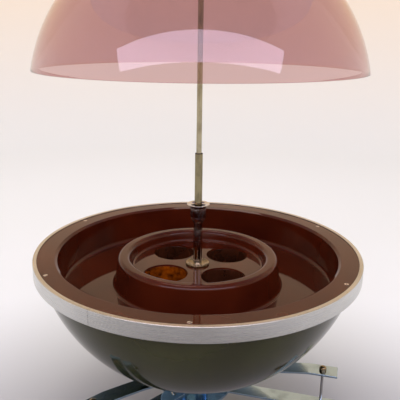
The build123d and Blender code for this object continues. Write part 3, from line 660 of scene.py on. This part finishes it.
class Finish(Enum):
    """The finishes of the bar's parts."""

    BAND = BrushedAluminium()
    # painted reflection: the blue-grey colours of the leg chrome stand in for the cool floor and room that
    # the strips reflect
    LEG_CHROME = PolishedMetal("leg_chrome", "a8c2d6", "8fa6b6")
    MAST_CHROME = PolishedMetal("mast_nickel", "a89f82", "7d745a", 0.08, 0.22, 12 * MM)
    MIDDLE_TUBE = PolishedMetal("olive_nickel", "857b5c", "5f5843", 0.1, 0.24, 12 * MM)
    COLLAR_CHROME = PolishedMetal("collar_chrome", "c9c9cc", "a3a3a8", 0.07, 0.2, 12 * MM)
    BRASS = PolishedMetal("aged_brass", "c9a869", "8f7340", 0.16, 0.32, 6 * MM)
    DULL_BRASS = PolishedMetal("dull_brass", "8d7d62", "5f5444", 0.2, 0.34, 6 * MM)
    PLATED_STEEL = PolishedMetal("plated_steel", "c6c6c4", "9c9c98", 0.14, 0.34, 8 * MM)
    ZINC = PolishedMetal("zinc_pressing", "b4b6b6", "8e9090", 0.3, 0.45, 10 * MM)
    BOWL = GlossPlastic("olive_bowl_plastic", "34361a", "2a2b12", 0.08, 0.18)
    TRAY = GlossPlastic("maroon_tray_plastic", "481a0b", "3b1409", 0.04, 0.1, specular=0.22)
    # painted light and shade: the wells are all one amber plastic; the dark brown entry is a copy painted in
    # shade, the amber entry below is a brighter copy painted lit, for the one well that catches the light
    WELL = GlossPlastic("well_plastic_painted_shade", "3f2012", "2b150b", 0.1, 0.2, 30 * MM)
    AMBER_WELL = GlossPlastic("well_plastic_painted_light", "8a4206", "3d1a03", 0.1, 0.2, 12 * MM)
    ACRYLIC = TintedAcrylic()
    NYLON = DullMoulding("black_nylon", "141414", "3a3835")
    RUBBER = DullMoulding("dark_rubber", "1b1a19", "4a4641", 0.7)


MATERIALS: dict[Finish, bpy.types.Material] = {}


def material_of(finish: Finish) -> bpy.types.Material:
    """The material of a finish, made once and then shared."""
    if finish not in MATERIALS:
        MATERIALS[finish] = finish.value.build()
    return MATERIALS[finish]


# ---- the bar's sub-assemblies ------------------------------------------------------


@dataclass
class Rim:
    """Aluminium band round the bowl's edge, with its butt seam."""

    wall: float = 2.0 * MM
    lip_width: float = 7.0 * MM
    lip_thickness: float = 1.5 * MM
    edge_roll: float = 1.1 * MM
    edge_break: float = 0.5 * MM
    lip_break: float = 0.4 * MM
    seam_azimuth: float = -122.0
    seam_gap: float = 0.6 * MM
    screw_count: int = 6
    screw_azimuth: float = 28.0
    screw_inset: float = 15.0 * MM
    screw_radius: float = 1.9 * MM
    head_radius: float = 3.8 * MM
    head_rise: float = 0.45 * MM
    slot_width: float = 0.9 * MM
    slot_depth: float = 0.9 * MM
    countersink: float = 2.0 * MM
    first_slot_turn: float = 20.0
    slot_turn: float = 47.0
    crown_facets: int = 8

    def build_screws(self) -> None:
        """Turn one oval-headed slotted screw and stand a copy in each hole."""
        low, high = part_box("rim_screws")
        flush, foot = high[2], low[2]
        crown = [
            (self.head_radius * math.cos(a), flush + self.head_rise * (1 + 2 * math.sin(a)) / 3)
            for a in [i * math.pi / 2 / self.crown_facets for i in range(self.crown_facets)]
        ]
        outline = [(0.0, foot), (self.screw_radius, foot), (self.screw_radius, flush - self.countersink)]
        outline += [(self.head_radius, flush)] + crown + [(0.0, flush + self.head_rise)]
        screw = turned("screw_pattern", outline, closed=False, steps=SCREW_STEPS)
        deselect_all()
        bpy.ops.mesh.primitive_cube_add(size=1, location=(0, 0, flush + self.head_rise))
        bpy.ops.transform.resize(value=(3 * self.head_radius, self.slot_width, 2 * self.slot_depth))
        carved(screw, bpy.context.active_object)
        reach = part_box("rim_band")[1][0] - self.screw_inset
        screws = []
        for number in range(self.screw_count):
            azimuth = math.radians(self.screw_azimuth + 360 * number / self.screw_count)
            slot_azimuth = self.slot_turn * number + self.first_slot_turn
            twin = turned_about_mast(copied(screw, f"rim_screw_{number + 1}"), slot_azimuth)
            screws.append(placed(twin, Vector((reach * math.cos(azimuth), reach * math.sin(azimuth), 0))))
        bpy.data.objects.remove(screw, do_unlink=True)
        dress(
            settle(joined("rim_screws_slotted", screws)), material_of(Finish.PLATED_STEEL),
            "stand", ("rim_screws",),
        )

    def build_band(self) -> None:
        """Model the band in the CAD band's box and dress it."""
        low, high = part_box("rim_band")
        radius = high[0]
        top, foot = high[2], low[2]
        lip = top - self.lip_thickness
        inner = radius - self.wall
        outline = rounded(
            [
                (radius, foot, self.edge_break),
                (radius, top, self.edge_roll),
                (radius - self.lip_width, top, self.edge_break),
                (radius - self.lip_width, lip, self.lip_break),
                (inner, lip, 0),
                (inner, foot, self.edge_break),
            ],
            closed=True,
            support=self.edge_break,
        )
        gap = math.degrees(self.seam_gap / radius)
        band = turned(
            "rim_band_brushed", outline,
            start=self.seam_azimuth + gap / 2, sweep=360 - gap,
        )
        dress(band, material_of(Finish.BAND), "stand", ("rim_band",))
        repaint("band_splice", material_of(Finish.BAND))

    def build(self) -> None:
        """Build the band and its screws."""
        self.build_band()
        self.build_screws()


@dataclass
class Bowl:
    """Half-globe bowl with a flat base and a thick rim."""

    wall: float = 4.0 * MM
    flange: float = 4.0 * MM
    rim_depth: float = 16.0 * MM
    rim_width: float = 24.0 * MM
    depth_cut: float = 10.0 * MM
    inset: float = 8.3 * MM
    base_margin: float = 2.0 * MM
    facet_angle: float = 1.5
    lining_facet_angle: float = 2.5
    smooth_angle: float = 25.0

    def build(self) -> None:
        """Turn the bowl's shell and dress it."""
        low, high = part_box("bowl_shell")
        rim_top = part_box("rim_band")[1][2]
        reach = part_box("rim_band")[1][0] - self.inset
        depth = rim_top - low[2] + self.depth_cut
        radius = (reach**2 + depth**2) / (2 * depth)
        centre = rim_top - depth + radius
        inner = radius - self.wall
        top, flange_base = high[2], high[2] - self.flange
        rim_base = top - self.rim_depth

        def angle(height: float, ball: float) -> float:
            """Angle from level of a sphere's point at a height."""
            return math.degrees(math.asin((height - centre) / ball))

        floor = low[2] + self.wall
        skin = arc_points(
            (0, centre), radius, angle(low[2], radius), angle(flange_base, radius), self.facet_angle
        )
        lining = arc_points(
            (0, centre), inner, angle(rim_base, inner), angle(floor, inner), self.lining_facet_angle
        )
        rim_inner = reach - self.rim_width / 2 - self.wall
        outline = (
            [(0.0, low[2]), (skin[0][0] - self.base_margin, low[2])] + skin
            + [(high[0], flange_base), (high[0], top), (rim_inner, top), (rim_inner, rim_base)]
            + lining + [(0.0, floor)]
        )
        bowl = turned("bowl_moulding", outline, closed=False, smooth_angle=self.smooth_angle)
        dress(bowl, material_of(Finish.BOWL), "stand", ("bowl_shell",))


@dataclass
class Tray:
    """Serving tray: flange, trough, raised bottle ring and recess, with four wells."""

    wall: float = 3.5 * MM
    flange_width: float = 36.0 * MM
    lip_width: float = 7.0 * MM
    bead_width: float = 5.0 * MM
    bead_drop: float = 3.0 * MM
    trough_depth: float = 65.0 * MM
    trough_draft: float = 2.5 * MM
    ring_base: float = 155.5 * MM
    ring_base_corner: float = 7.0 * MM
    ring_outer: float = 150.0 * MM
    ring_inner: float = 127.0 * MM
    ring_drop: float = 10.0 * MM
    recess_reach: float = 122.5 * MM
    recess_depth: float = 31.5 * MM
    mast_hole: float = 8.5 * MM
    well_radius: float = 40.0 * MM
    well_wall: float = 2.5 * MM
    well_azimuth: float = 39.0
    well_reach: float = 74.0 * MM
    # number of the well that gets the lit amber copy of the well plastic, as painted light
    painted_light_well: int = 3
    well_count: int = 4
    well_corner: float = 8.0 * MM
    well_fillet: float = 0.8 * MM
    edge_break: float = 0.4 * MM
    hole_break: float = 0.5 * MM
    bead_round: float = 2.2 * MM
    bead_inner_round: float = 1.8 * MM
    trough_corner: float = 9.0 * MM
    crown_round: float = 9.0 * MM
    recess_corner: float = 5.0 * MM
    underside_round: float = 1.5 * MM
    cutter_depth: float = 20.0 * MM
    facet_angle: float = 7.5

    def outline(self) -> list[Point]:
        """The tray's closed section: upper face inwards, then underside outwards."""
        low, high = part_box("serving_tray")
        top = high[2]
        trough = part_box("rim_band")[1][0] - self.lip_width - self.flange_width
        floor = top - self.trough_depth
        crown = top - self.ring_drop
        recess = top - self.recess_depth
        under = self.wall
        upper = [
            (high[0], top, self.edge_break),
            (trough + self.bead_width, top, self.bead_round),
            (trough, top - self.bead_drop, self.bead_inner_round),
            (trough - self.trough_draft, floor, self.trough_corner),
            (self.ring_base, floor, self.ring_base_corner),
            (self.ring_outer, crown, self.crown_round),
            (self.ring_inner, crown, self.crown_round),
            (self.recess_reach, recess, self.recess_corner),
            (self.mast_hole, recess, self.hole_break),
        ]
        lower = [
            (self.mast_hole, recess - under, 0),
            (self.recess_reach + under, recess - under, self.underside_round),
            (self.ring_inner + under, crown - under, self.crown_round - under),
            (self.ring_outer - under, crown - under, self.crown_round - under),
            (self.ring_base - under, floor - under, self.ring_base_corner + under),
            (trough - self.trough_draft + under, floor - under, self.trough_corner + under),
            (trough + under, top - under - self.bead_drop, self.underside_round),
            (trough + under + self.bead_width, top - under, self.underside_round),
            (high[0], top - under, 0),
        ]
        return rounded(upper + lower, closed=True, step=self.facet_angle)

    def build_tray(self) -> None:
        """Turn the moulding and cut its well holes."""
        tray = turned("serving_tray_moulding", self.outline())
        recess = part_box("serving_tray")[1][2] - self.recess_depth
        for number in range(self.well_count):
            azimuth = math.radians(self.well_azimuth + 360 * number / self.well_count)
            x, y = self.well_reach * math.cos(azimuth), self.well_reach * math.sin(azimuth)
            deselect_all()
            bpy.ops.mesh.primitive_cylinder_add(
                vertices=HOLE_SIDES, radius=self.well_radius, depth=self.cutter_depth,
                location=(x, y, recess),
            )
            carved(tray, bpy.context.active_object)
        settle(tray)
        dress(tray, material_of(Finish.TRAY), "stand", ("serving_tray",))

    def build_wells(self) -> None:
        """Turn one flanged cup, then copy it under each hole."""
        low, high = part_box("bottle_well_1")
        top, foot = high[2], low[2]
        outer = self.well_radius + self.well_wall
        half_flange = (high[0] - low[0]) / 2
        outline = rounded(
            [
                (0, foot, 0),
                (outer, foot, self.well_corner),
                (outer, top - self.well_wall, self.well_fillet),
                (half_flange, top - self.well_wall, self.hole_break),
                (half_flange, top, self.edge_break),
                (self.well_radius, top, self.edge_break),
                (self.well_radius, foot + self.well_wall, self.well_corner - self.well_wall),
                (0, foot + self.well_wall, 0),
            ],
            closed=False,
        )
        cup = turned("well_pattern", outline, closed=False, steps=SMALL_STEPS)
        for number in range(1, self.well_count + 1):
            node = f"bottle_well_{number}"
            low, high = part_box(node)
            centre = Vector(((low[0] + high[0]) / 2, (low[1] + high[1]) / 2, 0))
            well = placed(copied(cup, f"{node}_cup"), centre)
            # painted light and shade: that well gets the lit amber copy, and the other wells get the dark
            # copy painted in shade
            finish = Finish.AMBER_WELL if number == self.painted_light_well else Finish.WELL
            dress(well, material_of(finish), "stand", (node,))
        bpy.data.objects.remove(cup, do_unlink=True)

    def build(self) -> None:
        """Build tray and wells."""
        self.build_tray()
        self.build_wells()


@dataclass
class Mast:
    """Telescopic mast: lower tube, washer, collar, middle tube and their bushes."""

    collar_taper: float = 13 * MM
    collar_grip: float = 14.7 * MM
    collar_grip_height: float = 19 * MM
    collar_cup: float = 12.4 * MM
    collar_cup_depth: float = 9 * MM
    collar_lip: float = 1.2 * MM
    collar_lip_round: float = 0.6 * MM
    collar_foot_wall: float = 0.8 * MM
    collar_groove: float = 4.0 * MM
    cup_floor_wall: float = 3.0 * MM
    facets: int = 8
    running_gap: float = 0.05 * MM
    sleeve_gap: float = 0.3 * MM
    lower_tube_wall: float = 0.9 * MM
    middle_tube_wall: float = 1.0 * MM
    tube_edge: float = 0.3 * MM
    tube_bore_edge: float = 0.2 * MM
    tube_support: float = 0.6 * MM
    washer_facets: int = 10
    washer_flat: float = 1.2 * MM
    washer_rim: float = 1.5 * MM
    washer_round: float = 0.9 * MM
    washer_skirt: float = 0.8 * MM
    washer_chamfer: float = 0.5 * MM
    washer_curve: float = 2.2

    def build_lower_tube(self) -> None:
        """Turn the lower tube with softened ends."""
        low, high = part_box("mast_tube")
        outer, bore = high[0], high[0] - self.lower_tube_wall
        outline = rounded(
            [
                (outer, low[2], 0),
                (outer, high[2], self.tube_edge),
                (bore, high[2], self.tube_bore_edge),
                (bore, low[2], 0),
            ],
            closed=True,
            support=self.tube_support,
        )
        tube = turned("mast_lower_tube", outline, steps=TUBE_STEPS)
        dress(tube, material_of(Finish.COLLAR_CHROME), "stand", ("mast_tube",))

    def build_washer(self) -> None:
        """Turn the dished brass washer where the mast leaves the tray."""
        low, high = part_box("mast_escutcheon")
        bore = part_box("mast_tube")[1][0] + self.running_gap
        reach = high[0]
        base, top = low[2], high[2]
        eye = base + self.washer_flat
        spread = reach - self.washer_rim - bore
        dish = [
            (bore + spread * t, eye + (top - eye) * t**self.washer_curve)
            for t in [i / self.washer_facets for i in range(self.washer_facets + 1)]
        ]
        lip = (reach - self.washer_round, top - self.washer_round)
        outline = [(bore, base), (reach - self.washer_chamfer, base), (reach, base + self.washer_skirt)]
        outline += arc_points(lip, self.washer_round, 0, 90, 15) + dish[::-1]
        washer = turned("mast_washer_dished", outline, steps=SMALL_STEPS)
        dress(washer, material_of(Finish.DULL_BRASS), "stand", ("mast_escutcheon",))

    def build_collar(self) -> None:
        """Turn the flared locking collar with its open cup."""
        low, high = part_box("locking_collar")
        base, top, flare_reach = low[2], high[2], high[0]
        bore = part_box("mast_tube")[1][0] + self.running_gap
        grip_top = base + self.collar_taper + self.collar_grip_height
        cup_floor = top - self.collar_cup_depth
        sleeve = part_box("middle_tube")[1][0] + self.sleeve_gap
        start = bore + self.collar_foot_wall
        shares = [i / self.facets for i in range(self.facets + 1)]
        taper = [
            (start + (self.collar_grip - start) * math.sin(t * math.pi / 2), base + self.collar_taper * t)
            for t in shares
        ]
        lip = (flare_reach - self.collar_lip_round, top - self.collar_lip_round)
        mouth = (flare_reach - self.collar_lip, top)
        outline = [(bore, base)] + taper
        outline += [(self.collar_grip, grip_top - self.collar_groove), (self.collar_grip, grip_top)]
        outline += flare((self.collar_grip, grip_top), (flare_reach, top), shares[1:-1])
        outline += arc_points(lip, self.collar_lip_round, 0, 90, 22)
        outline += flare((self.collar_cup, grip_top), mouth, shares[::-1])
        outline += [(self.collar_cup, cup_floor), (sleeve, cup_floor)]
        outline += [(sleeve, cup_floor - self.cup_floor_wall), (bore, cup_floor - self.cup_floor_wall)]
        collar = turned("locking_collar_flared", outline, steps=SMALL_STEPS)
        dress(collar, material_of(Finish.COLLAR_CHROME), "collar", ("locking_collar",))

    def build_middle_tube(self) -> None:
        """Turn the middle tube, and repaint the CAD bush in its mouth, the glides, the collet and the foot.
        """
        low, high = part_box("middle_tube")
        outer, bore = high[0], high[0] - self.middle_tube_wall
        outline = rounded(
            [
                (outer, low[2], self.tube_bore_edge),
                (outer, high[2], self.tube_edge),
                (bore, high[2], 0),
                (bore, low[2], 0),
            ],
            closed=True,
            support=self.tube_support,
        )
        tube = turned("mast_middle_tube", outline, steps=TUBE_STEPS)
        dress(tube, material_of(Finish.MIDDLE_TUBE), "middle_tube", ("middle_tube",))
        repaint("rod_bush", material_of(Finish.NYLON))
        repaint("middle_glide", material_of(Finish.NYLON))
        repaint("rod_glide", material_of(Finish.NYLON))
        repaint("mast_collet", material_of(Finish.NYLON))
        repaint("mast_foot", material_of(Finish.ZINC))

    def build(self) -> None:
        """Build the mast's pieces."""
        self.build_lower_tube()
        self.build_washer()
        self.build_collar()
        self.build_middle_tube()


@dataclass
class Lid:
    """Dome lid on its rod, with crown washers and knob."""

    wall: float = 3.5 * MM
    edge: float = 0.8 * MM
    neck: float = 9 * MM
    waist: float = 15 * MM
    stud_hole: float = 3.8 * MM
    facet_angle: float = 1.5
    edge_inset: float = 0.1 * MM
    edge_support: float = 0.2 * MM
    stem_facets: int = 12
    cap_facets: int = 16

    def build_dome(self) -> None:
        """Turn the dome as one even shell."""
        low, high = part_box("lid_dome")
        reach, height = high[0], high[2] - low[2]
        radius = (reach**2 + height**2) / (2 * height)
        centre = high[2] - radius
        inner = radius - self.wall
        rim_angle = math.degrees(math.asin((low[2] + self.edge - centre) / radius))
        inner_angle = math.degrees(math.asin((low[2] + self.edge - centre) / inner))
        hole_outer = math.degrees(math.acos(self.stud_hole / radius))
        hole_inner = math.degrees(math.acos(self.stud_hole / inner))
        outside = arc_points((0, centre), radius, rim_angle, hole_outer, self.facet_angle)
        inside = arc_points((0, centre), inner, hole_inner, inner_angle, self.facet_angle)
        edge = rounded(
            [
                (inside[-1][0], low[2] + self.edge, 0),
                (inside[-1][0] + self.edge_inset, low[2], self.edge / 2),
                (outside[0][0] - self.edge_inset, low[2], self.edge / 2),
                (outside[0][0], low[2] + self.edge, 0),
            ],
            closed=False,
            support=self.edge_support,
        )
        dome = turned("lid_dome_blown", outside + inside + edge[1:-1])
        dress(dome, material_of(Finish.ACRYLIC), "lid", ("lid_dome",))

    def build_knob(self) -> None:
        """Turn the mushroom knob: a flared stem under a rounded cap."""
        low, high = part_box("lid_knob")
        reach = high[0]
        base, top = low[2], high[2]
        shoulder = base + self.waist
        shares = [i / self.stem_facets for i in range(self.stem_facets + 1)]
        stem = flare((self.neck, base), (reach, shoulder), shares)
        cap = [
            (reach * math.cos(t * math.pi / 2), shoulder + (top - shoulder) * math.sin(t * math.pi / 2))
            for t in [i / self.cap_facets for i in range(1, self.cap_facets + 1)]
        ]
        knob = turned("lid_knob_turned", [(0.0, base)] + stem + cap, closed=False, steps=SMALL_STEPS)
        dress(knob, material_of(Finish.COLLAR_CHROME), "lid", ("lid_knob",))

    def build(self) -> None:
        """Build the lid."""
        self.build_dome()
        self.build_knob()
        repaint("lid_rod", material_of(Finish.MAST_CHROME))
        repaint("crown_gasket", material_of(Finish.RUBBER))
        for node in ("crown_washer_inner", "crown_washer_outer"):
            repaint(node, material_of(Finish.COLLAR_CHROME))


@dataclass
class Stand:
    """Tripod of chromed strips with castors."""

    legs: int = 3

    def build(self) -> None:
        """Dress the CAD strips, plates and castors."""
        # the hub plates and strips take the leg chrome, whose blue-grey tint is a painted reflection
        for node in ("hub_plate_upper", "hub_plate_lower", "hub_spacers"):
            repaint(node, material_of(Finish.LEG_CHROME))
        for node in ("upper_leg_screws", "lower_leg_screws", "hub_bolts", "hub_nuts"):
            repaint(node, material_of(Finish.PLATED_STEEL))
        repaint("rim_inserts", material_of(Finish.BRASS))
        repaint("cap_nuts", material_of(Finish.DULL_BRASS))
        for number in range(1, self.legs + 1):
            repaint(f"upper_leg_{number}", material_of(Finish.LEG_CHROME))
            repaint(f"lower_leg_{number}", material_of(Finish.LEG_CHROME))
            repaint(f"castor_stem_{number}", material_of(Finish.PLATED_STEEL))
            repaint(f"castor_axle_{number}", material_of(Finish.PLATED_STEEL))
            repaint(f"castor_fork_{number}", material_of(Finish.ZINC))
            repaint(f"castor_hub_{number}", material_of(Finish.NYLON))
            repaint(f"castor_tyre_{number}", material_of(Finish.RUBBER))


# ---- the studio --------------------------------------------------------------------


@dataclass(frozen=True)
class SoftLight:
    """Rectangular soft light: name, place, width and height, power in watts, sRGB hex colour."""

    name: str
    place: Corner
    size: Point
    power: float
    colour: str


@dataclass
class Studio:
    """Pale sweep, soft lights and camera."""

    floor_reach: float = 2.6
    wall_reach: float = 4.2
    wall_height: float = 4.0
    # grey of the painted shade pool on the floor before the bar
    painted_shade_paper: str = "8b8d90"
    glow: float = 0.16
    shade_centre: Corner = (0.0, -0.5, 0.0)
    shade_reach: float = 1.15
    camera_distance: float = 0.9938
    camera_height: float = 0.7321
    camera_pitch: float = 15.20
    camera_yaw: float = 0.58
    camera_roll: float = 0.60
    lens: float = 50.76
    shift_x: float = 0.0175
    shift_y: float = -0.031
    shade_start: float = 0.3
    warm_height: float = 1.9
    paper_roughness: float = 0.9
    aim_height: float = 0.45
    world_strength: float = 0.58
    window: SoftLight = SoftLight("window", (0.0, -2.2, 2.25), (6.0, 0.9), 78, "e6e0ff")
    top: SoftLight = SoftLight("top", (-0.4, 0.7, 3.6), (1.6, 1.6), 40, "fff2e0")

    def backdrop_material(self) -> bpy.types.Material:
        """Pale paper sweep: cool white floor, warmer up the wall, with a painted shade pool before the bar.
        """
        material, tree, surface = new_material("pale_sweep")
        place = add_node(tree, "ShaderNodeTexCoord")
        parts = add_node(tree, "ShaderNodeSeparateXYZ", inputs={0: place.outputs["Object"]})
        height = add_node(
            tree, "ShaderNodeMapRange",
            inputs={0: parts.outputs[2], 1: 0.0, 2: self.warm_height, 3: 0.0, 4: 1.0},
        )
        paper = add_node(
            tree, "ShaderNodeMix", {"data_type": "RGBA"},
            {0: height.outputs[0], 6: linear("dfe6ee"), 7: linear("f6dfbd")},
        )
        # painted shade: near a point before the bar the paper turns to a dull grey and loses its glow;
        # further out it glows faintly in its own colour
        reach = add_node(
            tree, "ShaderNodeVectorMath", {"operation": "DISTANCE"},
            {0: place.outputs["Object"], 1: self.shade_centre},
        )
        lit = add_node(
            tree, "ShaderNodeMapRange", {"interpolation_type": "SMOOTHSTEP"},
            {0: reach.outputs["Value"], 1: self.shade_start, 2: self.shade_reach, 3: 0.0, 4: 1.0},
        )
        colour = add_node(
            tree, "ShaderNodeMix", {"data_type": "RGBA"},
            {0: lit.outputs[0], 6: linear(self.painted_shade_paper), 7: paper.outputs[2]},
        )
        glow = add_node(
            tree, "ShaderNodeMath", {"operation": "MULTIPLY"}, {0: lit.outputs[0], 1: self.glow}
        )
        shader = add_node(
            tree, "ShaderNodeBsdfPrincipled",
            inputs={"Base Color": colour.outputs[2], "Roughness": self.paper_roughness,
                    "Emission Color": paper.outputs[2], "Emission Strength": glow.outputs[0]},
        )
        tree.links.new(shader.outputs[0], surface)
        return material

    def build_sweep(self) -> None:
        """Floor disc that curves up into a round wall."""
        bend = self.wall_reach - self.floor_reach
        outline = [(0.0, 0.0), (self.floor_reach / 2, 0.0)]
        outline += arc_points((self.floor_reach, bend), bend, -90, 0, 5)
        outline += [(self.wall_reach, self.wall_height)]
        sweep = turned("studio_sweep", outline, closed=False, steps=SMALL_STEPS, smooth_angle=60)
        make_active(sweep)
        bpy.ops.object.mode_set(mode="EDIT")
        bpy.ops.mesh.select_all(action="SELECT")
        bpy.ops.mesh.flip_normals()
        bpy.ops.object.mode_set(mode="OBJECT")
        sweep.data.materials.clear()
        sweep.data.materials.append(self.backdrop_material())

    def add_light(self, light: SoftLight) -> None:
        """Hang a soft light so that it faces the bar."""
        place = Vector(light.place)
        deselect_all()
        bpy.ops.object.light_add(type="AREA", location=place)
        lamp = bpy.context.active_object
        lamp.name = light.name
        aim = Vector((0, 0, self.aim_height)) - place
        lamp.rotation_euler = aim.to_track_quat("-Z", "Y").to_euler()
        lamp.data.shape = "RECTANGLE"
        lamp.data.size, lamp.data.size_y = light.size
        lamp.data.energy = light.power
        lamp.data.color = linear(light.colour)[:3]

    def build_lights(self) -> None:
        """Window before the bar, soft light overhead and an even world."""
        self.add_light(self.window)
        self.add_light(self.top)
        world = bpy.data.worlds.new("even_room")
        bpy.context.scene.world = world
        world.use_nodes = True
        background = world.node_tree.nodes["Background"]
        background.inputs["Color"].default_value = linear("f3f3f4")
        background.inputs["Strength"].default_value = self.world_strength

    def build_camera(self) -> None:
        """Camera at the viewing angle, with a small shift and a slight roll."""
        deselect_all()
        bpy.ops.object.camera_add(location=(0, -self.camera_distance, self.camera_height))
        camera = bpy.context.active_object
        yaw = Matrix.Rotation(math.radians(self.camera_yaw), 4, "Z")
        pitch = Matrix.Rotation(math.radians(90 - self.camera_pitch), 4, "X")
        roll = Matrix.Rotation(math.radians(self.camera_roll), 4, "Z")
        camera.rotation_euler = (yaw @ pitch @ roll).to_euler()
        camera.data.lens = self.lens
        camera.data.shift_x = self.shift_x
        camera.data.shift_y = self.shift_y
        bpy.context.scene.camera = camera

    def build(self) -> None:
        """Build the sweep, the lights and the camera, with plain colour handling."""
        self.build_sweep()
        self.build_lights()
        self.build_camera()
        bpy.context.scene.view_settings.view_transform = "Standard"


def main() -> None:
    """Build the studio, then every sub-assembly."""
    logging.basicConfig(level=logging.INFO, format="%(name)s: %(message)s")
    for assembly in (Studio(), Rim(), Bowl(), Tray(), Mast(), Lid(), Stand()):
        assembly.build()
        log.info("built %s", type(assembly).__name__)


if __name__ == "__main__":
    main()
